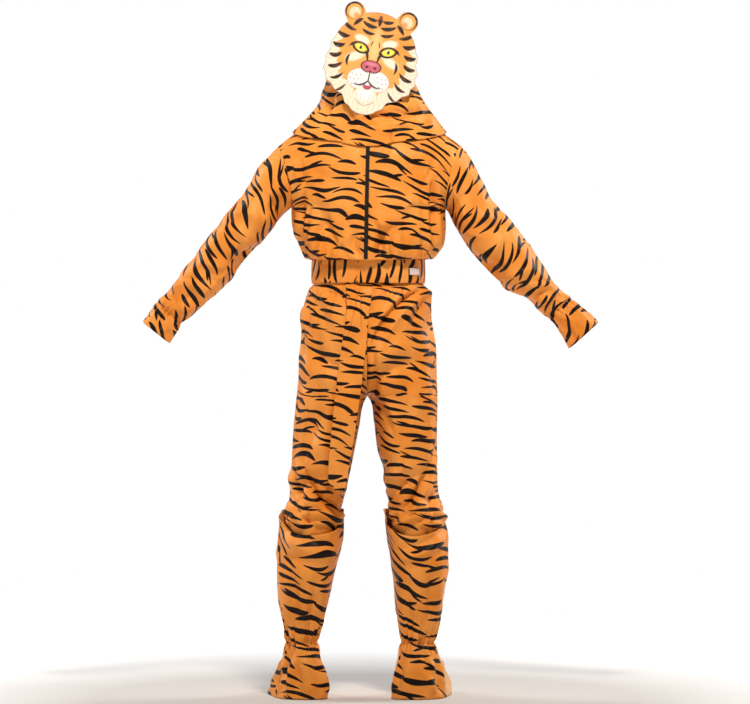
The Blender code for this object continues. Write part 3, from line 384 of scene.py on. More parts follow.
def trouserPanel(side, face, u, z):
    # u runs from the outer seam to the centre seam or inseam
    seam = trouserSeamX
    cut = sample(legSections[side], z)
    centreX = (cut["outer"] + cut["inner"]) / 2
    half = (cut["inner"] - cut["outer"]) / 2
    reachesSeam = np.abs(cut["outer"] - seam) < np.abs(cut["outer"] - cut["inner"])
    end = np.where(reachesSeam, np.arccos(np.clip((centreX - seam) / half, -1.0, 1.0)), math.pi)
    sign = -1.0 if face == "back" else 1.0
    return points(centreX - half * np.cos(u * end), sign * cut[face] * np.abs(np.sin(u * end)) ** 0.92, z)


def bootTube(side, degrees, v):
    # 0 degrees is the outer side, 90 the back, 180 the inner side and -90 the front; v runs down
    top = sample(bootTops[side], degrees)["z"]
    z = top + (bootSections[side]["rows"][-1][0] - top) * v
    cut = sample(bootSections[side], z)
    outward = -1.0 if side == "left" else 1.0
    centreX = (cut["lowX"] + cut["highX"]) / 2
    angle = np.radians(degrees)
    depth = np.where(np.sin(angle) > 0, cut["back"], cut["front"])
    lean = cut["turn"] * (cut["back"] + cut["front"]) / 2
    half = np.sqrt(np.maximum(((cut["highX"] - cut["lowX"]) / 2) ** 2 - lean**2, 0.0001))
    square = 1 - footSquare * softStep(1.34, 1.45, -z)
    y = -depth * signedPower(np.sin(angle), square)
    x = centreX + outward * half * signedPower(np.cos(angle), square)
    return points(x + cut["turn"] * (y - (cut["front"] - cut["back"]) / 2), y, z)


def sleeveTube(side, degrees, v):
    # 0 degrees is the upper side, -90 the back and 180 the underarm
    angle = np.radians(degrees)
    first = {name: float(value) for name, value in sample(sleeveSections[side], 0.0).items()}

    def ring(part):
        x = (part["upX"] + part["lowX"]) / 2 + (part["upX"] - part["lowX"]) / 2 * np.cos(angle)
        z = (part["upZ"] + part["lowZ"]) / 2 + (part["upZ"] - part["lowZ"]) / 2 * np.cos(angle)
        return points(x, part["y"] + part["depth"] * np.sin(angle), z)

    leave = (1 - softStep(0.0, 0.14, v))[..., None]
    outward = -1.0 if side == "left" else 1.0
    gap = np.array((outward, 0.0, -0.4)) * blouseShape["armholeGap"]
    shift = points(*armholePoint(side, degrees)) - ring(first) + gap
    return ring(sample(sleeveSections[side], v)) + shift * leave


def hoodHem(face, u):
    # points of the blouse under the hem, moved out
    angle = math.pi * u
    across = np.abs(np.cos(angle)) * hoodShape["hemReach"]
    drop = hoodShape["hemDrop"] * np.abs(np.sin(angle)) ** 0.9 * (1.25 if face == "front" else 1.0)
    step = 0.004
    spots = {}
    for side in ("left", "right"):
        middle = blouseQuarter(side, face, across, hemStart - drop)
        further = blouseQuarter(side, face, across + step, hemStart - drop)
        upward = blouseQuarter(side, face, across, hemStart - drop + step)
        normal = np.cross(further - middle, upward - middle)
        normal /= np.maximum(np.linalg.norm(normal, axis=-1, keepdims=True), 1e-12)
        outward = -1.0 if (side == "left") == (face == "back") else 1.0
        spots[side] = middle + normal * outward * hoodShape["lift"]
    place = np.where((u < 0.5)[..., None], spots["left"], spots["right"])
    place[..., 2] += hoodShape["lift"] * np.abs(np.cos(angle)) ** 6
    return place


def hoodRing(face, u, v):
    cut = sample(hoodSections, v)
    angle = math.pi * u
    sign = -1.0 if face == "back" else 1.0
    x = (cut["left"] + cut["right"]) / 2 - (cut["right"] - cut["left"]) / 2 * np.cos(angle)
    y = sign * cut[face] * np.abs(np.sin(angle)) ** 0.85
    z = cut["sideZ"] + (cut[face + "Z"] - cut["sideZ"]) * np.abs(np.sin(angle)) ** 1.3
    return points(x, y, z)


def hoodSheet(face, u, v):
    keep = (1 - softStep(0.0, hoodShape["blend"], v))[..., None]
    return hoodRing(face, u, v) + (hoodHem(face, u) - hoodRing(face, u, np.zeros_like(v))) * keep


# Folds, gathers and print


def foldShape(away, lipAt):
    # a crisp middle, and a lip beside it where the cloth rolls over the fold; away is in widths of the fold
    return np.exp(-(np.abs(away) ** cloth["crispness"])) - cloth["lip"] * np.exp(-((away - lipAt) ** 2))


def foldHeight(folds, x, z):
    # troughs and ridges: a fold fades in and out along its run, and its middle bows
    height = np.zeros_like(x)
    for fromX, fromZ, toX, toZ, width, depth, bend in np.array(folds) / 1000:
        runX, runZ = toX - fromX, toZ - fromZ
        length = math.hypot(runX, runZ)
        along = ((x - fromX) * runX + (z - fromZ) * runZ) / length**2
        across = (runX * (z - fromZ) - runZ * (x - fromX)) / length
        away = across - bend * np.sin(math.pi * np.clip(along, -0.3, 1.3))
        fade = softStep(-0.25, 0.2, along) * (1 - softStep(0.6, 1.25, along))
        lipAt = math.copysign(cloth["lipAt"], bend)
        height += cloth["foldStrength"] * depth * fade * foldShape(away / width, lipAt)
    return height


def lively(surface, seed, size=0.16, depth=None):
    # chance creases of thin cloth: crisp ridges of many directions, each only in patches, over slow waves
    random = np.random.default_rng(seed)
    fullTurn = 6.3

    def wave(length, bend=0.0, share=1.0, shifted=True):
        direction = random.normal(size=3)
        run = surface @ (direction * 2 * math.pi / length / np.linalg.norm(direction))
        return np.sin(run * share + bend + (random.uniform(0, fullTurn) if shifted else 0.0))

    height = np.zeros(surface.shape[:2])
    for ridgeNumber in range(cloth["livelyRidges"]):
        bow = 0.9 * wave(size * 1.6)
        ridge = (1 - np.abs(wave(size * random.uniform(0.8, 1.7), bow, 0.5, False))) ** 1.8
        patch = softStep(-0.1, 0.9, wave(size * 1.3))
        height += random.choice((-1.0, 1.0)) * ridge * patch
        height += 0.15 * wave(size * 0.5)
    return height * (cloth["livelyDepth"] if depth is None else depth)


def unevenGathers(u, count, seed):
    # rounded ridges with sharp valleys, of uneven width and height; u is one turn or one panel
    random = np.random.default_rng(seed)
    phase = np.zeros_like(u)
    size = np.full_like(u, 0.72)
    for wave in range(1, 7):
        phase += random.uniform(0.15, 0.5) / wave**0.5 * np.sin(2 * math.pi * (wave * u + random.uniform()))
        size += 0.10 * np.sin(2 * math.pi * (wave * 1.7 * u + random.uniform()))
    return size * (np.abs(np.cos(math.pi * (count * u + phase))) ** 0.8 - 0.62) * 1.6


def gatherReach(u, seed, spread=0.45):
    # how much further each gather runs than its neighbours
    random = np.random.default_rng(seed)
    reach = np.ones_like(u)
    for wave in (3, 5, 8, 13):
        reach += spread / 2 * np.sin(2 * math.pi * (wave * u + random.uniform()))
    return np.maximum(reach, 0.35)


def hem(distance):
    # a turned hem: a second layer that stands proud up to its stitch line
    width, lift = cloth["hemWidth"], cloth["hemLift"]
    stitch = np.exp(-(((distance - width + 0.0015) / 0.0012) ** 2))
    return lift * (1 - softStep(width - 0.001, width + 0.0015, distance)) - 0.0006 * stitch


def stitchLine(fromEdge, inset, halfWidth):
    return -cloth["stitchDepth"] * np.exp(-(((fromEdge - inset) / halfWidth) ** 2))


def clothLengths(surface, column, row):
    # lengths measured on the cloth in metres, across from one column and up from one row
    across = np.linalg.norm(np.diff(surface, axis=1), axis=-1)
    upward = np.linalg.norm(np.diff(surface, axis=0), axis=-1)
    u = np.concatenate((np.zeros((surface.shape[0], 1)), np.cumsum(across, axis=1)), axis=1)
    v = np.concatenate((np.zeros((1, surface.shape[1])), np.cumsum(upward, axis=0)), axis=0)
    return u - u[:, column : column + 1], v - v[row : row + 1, :]


def cutSize(surface, fullness=1.0):
    # the flat panel: its widest row, its longest column and its area
    across = np.linalg.norm(np.diff(surface, axis=1), axis=-1)
    upward = np.linalg.norm(np.diff(surface, axis=0), axis=-1)
    width, length = across.sum(axis=1).max() * fullness, upward.sum(axis=0).max()
    area = (across[:-1] * (upward[:, :-1] + upward[:, 1:]) / 2).sum() * fullness
    width, length, area = round(float(width), 3), round(float(length), 3), round(float(area), 4)
    return (width, length), min(area, width * length)


# Making the meshes


def linear(hexColour):
    parts = [int(hexColour[start : start + 2], 16) / 255 for start in (1, 3, 5)]
    return [part / 12.92 if part <= 0.04045 else ((part + 0.055) / 1.055) ** 2.4 for part in parts]


def meshFromGrid(name, surface, printPlace=None, closed=False):
    # a closed grid runs round in rings, and its innermost ring is capped
    rows, columns = surface.shape[:2]
    index = np.arange(rows * columns).reshape(rows, columns)
    if closed:
        index = np.concatenate((index, index[:, :1]), axis=1)
    faces = np.stack((index[:-1, :-1], index[:-1, 1:], index[1:, 1:], index[1:, :-1]), axis=-1)
    faces = faces.reshape(-1, 4).tolist()
    if closed:
        faces.append(list(range(columns))[::-1])
    mesh = bpy.data.meshes.new(name)
    mesh.from_pydata(surface.reshape(-1, 3).tolist(), [], faces)
    if printPlace is not None:
        layer = mesh.uv_layers.new(name="print")
        corners = np.empty(len(mesh.loops), np.int32)
        mesh.loops.foreach_get("vertex_index", corners)
        layer.data.foreach_set("uv", printPlace.reshape(-1, 2)[corners].astype(np.float32).ravel())
    mesh.shade_smooth()
    piece = bpy.data.objects.new(name, mesh)
    bpy.context.scene.collection.objects.link(piece)
    return piece


def giveWall(piece, wall, offset, outside, inside=None):
    piece.data.materials.append(outside)
    walls = piece.modifiers.new("wall", "SOLIDIFY")
    walls.thickness = wall
    walls.offset = offset
    walls.use_even_offset = False
    if inside is not None:
        piece.data.materials.append(inside)
        walls.material_offset = 1


def bindPiece(piece, node):
    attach(piece, "root")
    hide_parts(node)
    return piece


def smallPiece(name, node, surface, wall, material):
    piece = meshFromGrid(name, surface, np.stack(clothLengths(surface, 0, 0), axis=-1))
    giveWall(piece, wall, -1.0, material)
    return bindPiece(piece, node)


def clothPiece(name, node, surface, base, settings, materials, printFrom=(0, 0)):
    # the print is laid in metres on the smooth cloth, from the given column and row
    across, upward = clothLengths(base, *printFrom)
    if settings.get("printLevel"):
        upward = np.repeat(upward[:, upward.shape[1] // 2, None], upward.shape[1], axis=1)
    across, upward = (lengths * settings.get("printScale", 1.0) for lengths in (across, upward))
    turn = math.radians(settings.get("printTurn", 0.0))
    shiftX, shiftY = settings["printShift"]
    printX = across * math.cos(turn) - upward * math.sin(turn) + shiftX
    printY = across * math.sin(turn) + upward * math.cos(turn) + shiftY
    piece = meshFromGrid(name, surface, np.stack((printX, printY), axis=-1))
    giveWall(piece, settings.get("wall", cloth["wall"]), -1.0, *materials)
    return bindPiece(piece, node)


def declareCut(piece, base, fullness, withPieces=()):
    flat, area = cutSize(base, fullness)
    cuts[piece.name] = (flat, area)


cuts = {}


# Materials


def addNode(tree, kind, inputs=None, **settings):
    node = tree.nodes.new("ShaderNode" + kind)
    for name, value in settings.items():
        setattr(node, name, value)
    for slot, value in (inputs or {}).items():
        if isinstance(value, bpy.types.NodeSocket):
            tree.links.new(value, node.inputs[slot])
        else:
            node.inputs[slot].default_value = value
    return node


def newMaterial(name, **shaderValues):
    made = bpy.data.materials.new(name)
    made.use_nodes = True
    shader = made.node_tree.nodes["Principled BSDF"]
    for slot, value in shaderValues.items():
        shader.inputs[slot.replace("_", " ")].default_value = value
    return made, made.node_tree, shader


def blend(tree, factor, first, second):
    # two of the named colours, mixed by a factor
    first, second = ((*linear(colours[name]), 1) for name in (first, second))
    mix = addNode(tree, "Mix", {"Factor": factor, "A": first, "B": second}, data_type="RGBA")
    return mix.outputs["Result"]


# The print's repeat in millimetres: each stroke's middle, half length, slope, bow, half thickness, and
# how much thicker it is at its right end. A prong leaves a stroke at a share of its half length: a fork.
stripes = {
    "repeat": (268.0, 242.0),
    "soft": 0.3,
    "trim": 0.5,
    "point": 0.48,
    "waver": 21.0,
    "boldness": 1.14,
    # x, y, reach, slope, bow, thick, skew
    "strokes": (
        (-84, 110, 36, -0.19, -4.3, 4.8, -0.2), (17, 109, 50, -0.14, -11, 4.9, 0.35),
        (108, 111, 25, -0.17, -3, 4.1, -0.35), (30, 89, 53, -0.24, 7.4, 4.9, 0.3),
        (-104, 88, 47, -0.24, -7.5, 4.9, -0.2), (128, 66, 54, -0.18, 5.4, 4.9, -0.35),
        (-49, 67, 24, -0.16, -5.3, 4.1, 0.25), (25, 65, 36, -0.23, 5, 4.9, 0.25),
        (-53, 44, 44, -0.2, 6.2, 4.9, 0.3), (81, 44, 56, -0.14, -9, 4.9, -0.2),
        (48, 23, 48, -0.21, -5.8, 4.9, 0.3), (-127, 21, 30, -0.16, 3, 4.3, 0.3),
        (-49, 23, 34, -0.16, -4.1, 4.5, 0.25), (-113, -1, 58, -0.16, 8.1, 4.9, 0.3),
        (21, 0, 42, -0.16, -5, 4.9, -0.35), (-38, -22, 36, -0.2, -7.9, 4.9, 0.25),
        (63, -22, 50, -0.17, -8, 4.9, 0.25), (-114, -22, 25, -0.14, -5.5, 4.7, 0.3),
        (76, -44, 53, -0.15, -11.7, 4.9, 0.35), (-58, -43, 47, -0.22, -5.6, 4.9, 0.25),
        (-94, -67, 54, -0.16, -11.9, 4.9, 0.3), (-3, -66, 24, -0.17, -3.8, 4.8, 0.3),
        (71, -65, 36, -0.19, 3.6, 4.7, 0.25), (-7, -89, 44, -0.14, -9.7, 4.9, -0.2),
        (127, -89, 56, -0.23, 7.8, 4.9, 0.35), (94, -111, 48, -0.14, 4.8, 4.9, -0.2),
        (-81, -109, 30, -0.23, 3, 4.5, 0.35), (-3, -109, 34, -0.19, -4.1, 4.9, -0.35),
    ),
    # stroke, share of its half length, side, reach, slope, thick
    "prongs": (
        (3, -0.02, -1, 19, -0.55, 3.6), (4, -0.25, -1, 19, -0.55, 3.6), (5, -0.08, 1, 19, 0.17, 3.6),
        (9, -0.06, 1, 19, -0.55, 3.6), (10, 0.33, 1, 19, 0.17, 3.6), (14, 0.01, -1, 19, -0.55, 3.6),
        (20, 0.3, 1, 19, -0.55, 3.6), (24, -0.06, -1, 19, 0.17, 3.6),
    ),
}


def allStrokes():
    chart = list(stripes["strokes"])
    for number, share, side, reach, slope, thick in stripes["prongs"]:
        x, y, mainReach, mainSlope, bow = stripes["strokes"][number][:5]
        startX = x + share * mainReach
        startY = y + mainSlope * share * mainReach + bow * (share**2 - 0.5)
        step = side * reach * 0.9
        chart.append((startX + step, startY + slope * step, reach, slope, 0.0, thick, 0.0))
    return chart


def makeStripeGroup():
    # gives 1 inside a stroke and 0 outside, from a place on the cloth in metres
    group = bpy.data.node_groups.new("tiger stripes", "ShaderNodeTree")
    group.interface.new_socket("Place", in_out="INPUT", socket_type="NodeSocketVector")
    group.interface.new_socket("Stroke", in_out="OUTPUT", socket_type="NodeSocketFloat")
    entry = group.nodes.new("NodeGroupInput")
    leave = group.nodes.new("NodeGroupOutput")
    scaled = addNode(group, "VectorMath", {0: entry.outputs[0], "Scale": 1000.0}, operation="SCALE")
    noise = addNode(group, "TexNoise", {"Vector": entry.outputs[0], "Scale": 11.0, "Detail": 0.0})
    centred = addNode(group, "VectorMath", {0: noise.outputs["Color"], 1: (0.5,) * 3}, operation="SUBTRACT")
    waver = stripes["waver"] * 2
    bent = {0: centred.outputs[0], 1: (waver, waver, 0.0), 2: scaled.outputs[0]}
    place = addNode(group, "VectorMath", bent, operation="MULTIPLY_ADD").outputs[0]
    halfX, halfY = (side / 2 for side in stripes["repeat"])
    deepest = None
    for x, y, reach, slope, bow, thick, skew in allStrokes():
        thick *= stripes["boldness"]
        offset = addNode(group, "VectorMath", {0: place, 1: (x, y, 0.0)}, operation="SUBTRACT").outputs[0]
        repeat = {0: offset, 1: (halfX, halfY, 1.0), 2: (-halfX, -halfY, -1.0)}
        wrapped = addNode(group, "VectorMath", repeat, operation="WRAP").outputs[0]
        parts = addNode(group, "SeparateXYZ", {0: wrapped}).outputs
        along = addNode(group, "Math", {0: parts["X"], 1: 1 / reach}, operation="MULTIPLY").outputs[0]
        along = addNode(group, "Clamp", {"Value": along, "Min": -1.2, "Max": 1.2}).outputs[0]
        square = addNode(group, "Math", {0: along, 1: along}, operation="MULTIPLY").outputs[0]
        made = {"along": along, "square": square, "Y": parts["Y"]}
        for name, operation, *values in (
            ("line", "MULTIPLY_ADD", "along", slope * reach, -bow / 2),
            ("line", "MULTIPLY_ADD", "square", bow, "line"),
            ("gap", "SUBTRACT", "Y", "line"),
            ("gap", "ABSOLUTE", "gap"),
            ("rest", "SUBTRACT", 1.0, "square"),
            ("taper", "POWER", "rest", stripes["point"]),
            ("swell", "MULTIPLY_ADD", "along", thick * skew, thick),
            ("half", "MULTIPLY", "taper", "swell"),
            ("inside", "SUBTRACT", "half", "gap"),
        ):
            inputs = {slot: made.get(value, value) for slot, value in enumerate(values)}
            settings = {"operation": operation, "use_clamp": name == "rest"}
            made[name] = addNode(group, "Math", inputs, **settings).outputs[0]
        inside = made["inside"]
        if deepest is not None:
            inside = addNode(group, "Math", {0: deepest, 1: inside}, operation="MAXIMUM").outputs[0]
        deepest = inside
    low, high = stripes["trim"] - stripes["soft"], stripes["trim"] + stripes["soft"]
    stroke = addNode(group, "MapRange", {"Value": deepest, "From Min": low, "From Max": high}).outputs[0]
    group.links.new(stroke, leave.inputs[0])
    return group


# Small creases pressed into thin satin, finer than the cut folds: sizes in metres on the cloth
creases = {"perMetre": 9.0, "stretch": (1.0, 0.5, 1.0), "halfWidth": 0.10, "depth": 0.0045, "strength": 0.55}


def creaseBump(tree, place):
    # crooked ridges along the middle level of a stretched noise
    drawn = addNode(tree, "VectorMath", {0: place, 1: creases["stretch"]}, operation="MULTIPLY").outputs[0]
    level = addNode(tree, "TexNoise", {"Vector": drawn, "Scale": creases["perMetre"], "Detail": 1.5,
                                       "Distortion": 0.6}).outputs["Fac"]
    away = addNode(tree, "Math", {0: level, 1: 0.5}, operation="SUBTRACT").outputs[0]
    away = addNode(tree, "Math", {0: away}, operation="ABSOLUTE").outputs[0]
    ridge = addNode(tree, "MapRange", {"Value": away, "From Max": creases["halfWidth"], "To Min": 1.0,
                                       "To Max": 0.0}).outputs[0]
    return addNode(tree, "Bump", {"Height": ridge, "Strength": creases["strength"],
                                  "Distance": creases["depth"]}).outputs[0]


waveRadians = 20.0  # of a wave texture of scale 1, in a metre


def weaveBump(tree, shader, place, threadMillimetres, depth, under=None):
    # plain weave as two crossed waves, each about six times the given thread: the real one would be finer
    # than the view can show
    turns = 1000.0 / threadMillimetres / waveRadians
    wave = {"Vector": place, "Scale": turns}
    warp, weft = (addNode(tree, "TexWave", wave, bands_direction=way).outputs["Fac"] for way in "XY")
    both = addNode(tree, "Math", {0: warp, 1: weft}, operation="MULTIPLY").outputs[0]
    bump = addNode(tree, "Bump", {"Height": both, "Strength": 0.25, "Distance": depth})
    if under is not None:
        tree.links.new(under, bump.inputs["Normal"])
    tree.links.new(bump.outputs[0], shader.inputs["Normal"])


def stripedSatin(name, ground, deeper, ink, roughness):
    # Polyester satin, transfer printed: a soft broad shine along the folds, ink sunk into the yarn
    made, tree, shader = newMaterial(name, Roughness=roughness, Specular_IOR_Level=0.16, Sheen_Weight=0.01)
    place = addNode(tree, "UVMap", uv_map="print").outputs[0]
    inStroke = addNode(tree, "Group", {0: place}, node_tree=stripeGroup).outputs[0]
    clouds = addNode(tree, "TexNoise", {"Vector": place, "Scale": 9.0, "Detail": 3.0}).outputs["Fac"]
    spread = addNode(tree, "MapRange", {"Value": clouds, "From Min": 0.35, "From Max": 0.70}).outputs[0]
    fibre = addNode(tree, "TexNoise", {"Vector": place, "Scale": 900.0, "Detail": 1.0}).outputs["Fac"]
    coat = addNode(tree, "Mix", {"Factor": inStroke}, data_type="RGBA")
    tree.links.new(blend(tree, spread, ground, deeper), coat.inputs["A"])
    tree.links.new(blend(tree, fibre, ink, "stripeBrown"), coat.inputs["B"])
    tree.links.new(coat.outputs["Result"], shader.inputs["Base Color"])
    weaveBump(tree, shader, place, 0.6, 0.00006, creaseBump(tree, place))
    return made


def plainCloth(name, first, second, scale, thread, depth, **shaderValues):
    made, tree, shader = newMaterial(name, **shaderValues)
    place = addNode(tree, "UVMap", uv_map="print").outputs[0]
    clouds = addNode(tree, "TexNoise", {"Vector": place, "Scale": scale, "Detail": 4.0}).outputs["Fac"]
    tree.links.new(blend(tree, clouds, first, second), shader.inputs["Base Color"])
    weaveBump(tree, shader, place, thread, depth)
    return made


stripeGroup = makeStripeGroup()
satin = stripedSatin("polyester satin, tiger printed", "orange", "orangeDeep", "stripe", 0.46)
# The print barely comes through to the wrong side, which stays paler and duller
satinReverse = stripedSatin("polyester satin, wrong side", "reverse", "orange", "reverseInk", 0.6)
stripedFaces = (satin, satinReverse)
# Plain dyed polyester of the same weight: pale peach with the same soft shine
peachSatin = plainCloth("polyester satin, peach", "peach", "peachDeep", 14.0, 0.6, 0.00006,
                        Roughness=0.48, Specular_IOR_Level=0.35, Sheen_Weight=0.05)
# Woven nylon with loops on its face: black, dull, slightly fuzzy at the edge
tapeNylon = plainCloth("nylon loop tape, black", "tape", "tapeLoop", 900.0, 1.0, 0.0003,
                       Roughness=0.9, Specular_IOR_Level=0.2)
# Moulded nylon hooks: milky white, a fine grid of points that scatters the light
hookNylon = plainCloth("nylon hook tape, white", "patch", "patchHooks", 700.0, 1.3, 0.0005,
                       Roughness=0.6, Sheen_Weight=0.1)
print("materials made")


# Blouse

blouseFolds = {
    # fromX, fromZ, toX, toZ, width, depth and bend, in millimetres
    "back": (
        (-50, -330, -130, -200, 24, -9.6, 10), (30, -330, 75, -250, 15, -11.2, 10),
        (-20, -330, -30, -270, 12, -8, 10), (-170, -320, -165, -160, 7, -8, 4),
        (-155, -310, -150, -210, 5, -4.5, 4), (-110, -335, -100, -280, 5, -5, 4),
        (150, -330, 140, -270, 5, -5, -4), (70, -335, 55, -290, 5, -5, 4),
        (180, -300, 172, -120, 7, -7.5, 4), (190, -300, 186, -140, 8, 4.8, 4),
        (120, -320, 100, -220, 18, -6.4, 10), (-133, -300, -105, -235, 9, -7.2, 6),
        (-80, -335, -70, -285, 9, 5.6, 4), (52, -330, 20, -225, 11, 8, -14),
        (40, -320, 12, -240, 7, -7.2, -10), (100, -330, 82, -270, 8, 4.8, 6),
        (-150, -110, -60, -170, 20, -3.5, 12), (160, -105, 60, -160, 22, -3.5, -12),
        (-120, -180, -30, -235, 22, 3.8, 10), (140, -190, 40, -215, 20, 3.5, -10),
        (168, -85, 150, -140, 7, -4.8, 4), (-172, -80, -160, -150, 7, -4.8, -4),
    ),
    "front": (
        (60, -330, 110, -200, 22, -9.6, 10), (-60, -330, -110, -210, 22, -9.6, 10),
        (10, -335, 30, -240, 12, -7.2, 6), (-20, -335, -50, -260, 10, 5.6, 6),
        (140, -320, 150, -200, 12, -7.2, 6), (-150, -310, -145, -180, 12, -7.2, -6),
        (-140, -110, -40, -180, 22, -4.5, 12), (140, -110, 50, -175, 22, -4.5, -12),
        (30, -70, -50, -110, 18, 3.5, 8),
    ),
}
blouse = {
    "backGrid": (96, 130),
    "frontGrid": (110, 84),
    "gatherCount": 11,
    "gatherDepth": 0.0030,
    "gatherReach": 0.13,
    "backWidth": 0.20,
    "frontWidth": 0.40,
    "fullness": 1.05,
    "left": {"seed": 3, "printShift": (0.010, 0.014)},
    "right": {"seed": 4, "printShift": (0.006, 0.002)},
    "front": {"seed": 5, "printShift": (0.060, 0.040)},
}


def blouseHeight(base, face, fromCentre, v, seed):
    # fromCentre runs from 0 at the centre of the panel to 1 at its side seam or armhole
    height = foldHeight(blouseFolds[face], base[..., 0], base[..., 2]) * softStep(0.04, 0.12, v)
    reach = blouse["gatherReach"] * gatherReach(fromCentre / 3 + seed / 7, seed)
    fade = np.exp(-((v / reach) ** 2)) * softStep(0.02, 0.08, v)
    height += blouse["gatherDepth"] * fade * unevenGathers(fromCentre, blouse["gatherCount"], seed)
    return height + lively(base, seed) * softStep(0.04, 0.2, v) * (1 - softStep(0.8, 0.95, v))


def makeBlouseBack(side):
    u, v = grid(*blouse["backGrid"], blouse["backWidth"])
    v = v ** blouseShape["waistCrowding"]
    fromCentre = 1 - u if side == "left" else u
    base = blouseQuarter(side, "back", fromCentre, v)
    height = blouseHeight(base, "back", fromCentre, v, blouse[side]["seed"])
    height *= softStep(0.0, 0.09, fromCentre) * (1 - softStep(0.90, 1.0, fromCentre))
    centreColumn = u.shape[1] - 1 if side == "left" else 0
    piece = clothPiece("blouseBack" + side.title(), "blouse_back_" + side, movedOut(base, height), base,
                       blouse[side], stripedFaces, (centreColumn, 0))
    return piece, base


def makeBlouseFront():
    u, v = grid(*blouse["frontGrid"], blouse["frontWidth"])
    v = v ** blouseShape["waistCrowding"]
    fromCentre = np.abs(2 * u - 1)
    base = np.where((u > 0.5)[..., None], blouseQuarter("left", "front", fromCentre, v),
                    blouseQuarter("right", "front", fromCentre, v))
    height = blouseHeight(base, "front", u * 2, v, blouse["front"]["seed"])
    height *= 1 - softStep(0.90, 1.0, fromCentre)
    piece = clothPiece("blouseFront", "blouse_front", movedOut(base, height), base, blouse["front"],
                       stripedFaces, (u.shape[1] // 2, 0))
    return piece, base


# Closure tape: laid on the two back panels beside the centre seam
tape = {
    "grid": (6, 120),
    "width": 0.010,
    "wall": 0.0015,
    "from": 0.115,
    "to": 0.975,
    "lift": 0.0007,
    "ripple": 0.0006,
    "rippleCount": 17,
    "panelWidth": 0.19,
}


def makeTape():
    u, v = plainGrid(*tape["grid"])
    up = tape["from"] + v * (tape["to"] - tape["from"])
    offset = (u - 0.5) * tape["width"]
    reach = np.abs(offset) / tape["panelWidth"]
    surface = np.where((offset < 0)[..., None], blouseQuarter("left", "back", reach, up),
                       blouseQuarter("right", "back", reach, up))
    surface[..., 0] = seamX(up) + offset
    waves = np.sin(2 * math.pi * tape["rippleCount"] * up + 3 * np.sin(9 * up))
    ripple = tape["ripple"] * (0.5 + 0.5 * waves) * np.abs(2 * u - 1)
    surface[..., 1] -= tape["lift"] + tape["wall"] + ripple
    return smallPiece("closureTape", "closure_tape", surface, tape["wall"], tapeNylon)


backPieces = {side: makeBlouseBack(side) for side in ("left", "right")}
frontPiece, frontBase = makeBlouseFront()
tapePiece = makeTape()
for side, (piece, base) in backPieces.items():
    carried = [tapePiece] if side == "left" else []
    declareCut(piece, base, blouse["fullness"], carried)
declareCut(frontPiece, frontBase, blouse["fullness"])
print("blouse made")


# Sleeves

sleeveFolds = {
    # along, middle in degrees, reach in degrees, slant, width, depth
    "left": (
        (0.1, -120, 70, 0.05, 0.03, -0.0087), (0.42, -170, 60, 0.03, 0.022, -0.0087),
        (0.5, -150, 60, -0.04, 0.022, -0.0101), (0.58, -160, 60, 0.02, 0.02, -0.0072),
        (0.46, 150, 60, 0.04, 0.024, -0.0087), (0.74, -110, 60, 0.03, 0.018, -0.0072),
        (0.8, -60, 60, -0.03, 0.016, -0.0058), (0.2, -100, 80, -0.1, 0.016, -0.0043),
        (0.28, -60, 70, 0.12, 0.014, 0.0038), (0.36, -110, 60, -0.06, 0.013, 0.0043),
        (0.54, -95, 55, 0.05, 0.01, 0.0046), (0.64, -80, 80, 0.1, 0.013, -0.0043),
        (0.69, -130, 60, -0.05, 0.01, 0.0043), (0.3, 120, 80, -0.08, 0.02, -0.0051),
        (0.62, 110, 70, 0.06, 0.016, -0.0051), (0.76, 60, 60, 0.05, 0.012, 0.0036),
    ),
}
# the other sleeve's folds, each a little moved from this one's
sleeveFolds["right"] = tuple(
    (along - 0.012 * (index % 3), middle + 12 * (index % 2), reach, slant * 0.85,
     width * (0.9 + 0.06 * (index % 4)), depth)
    for index, (along, middle, reach, slant, width, depth) in enumerate(sleeveFolds["left"])
)
sleeve = {
    "grid": (132, 132),
    "length": 0.42,
    "width": 0.40,
    "foldStrength": 1.5,
    "foldNarrowing": 1.3,
    "chanceSize": 0.13,
    "endFade": 0.03,
    "gatherCount": 17,
    "gatherDepth": 0.0050,
    "gatherReach": 0.050,
    "pinch": 0.0035,
    "pinchReach": 0.014,
    "flareCount": 7,
    "flareDepth": 0.0030,
    "fullness": 1.08,
    "left": {"seed": 11, "wrist": 0.89, "printShift": (0.03, 0.055), "printTurn": 18.0, "printScale": 0.92},
    "right": {"seed": 12, "wrist": 0.87, "printShift": (0.095, 0.02), "printTurn": -28.0, "printScale": 0.92},
}


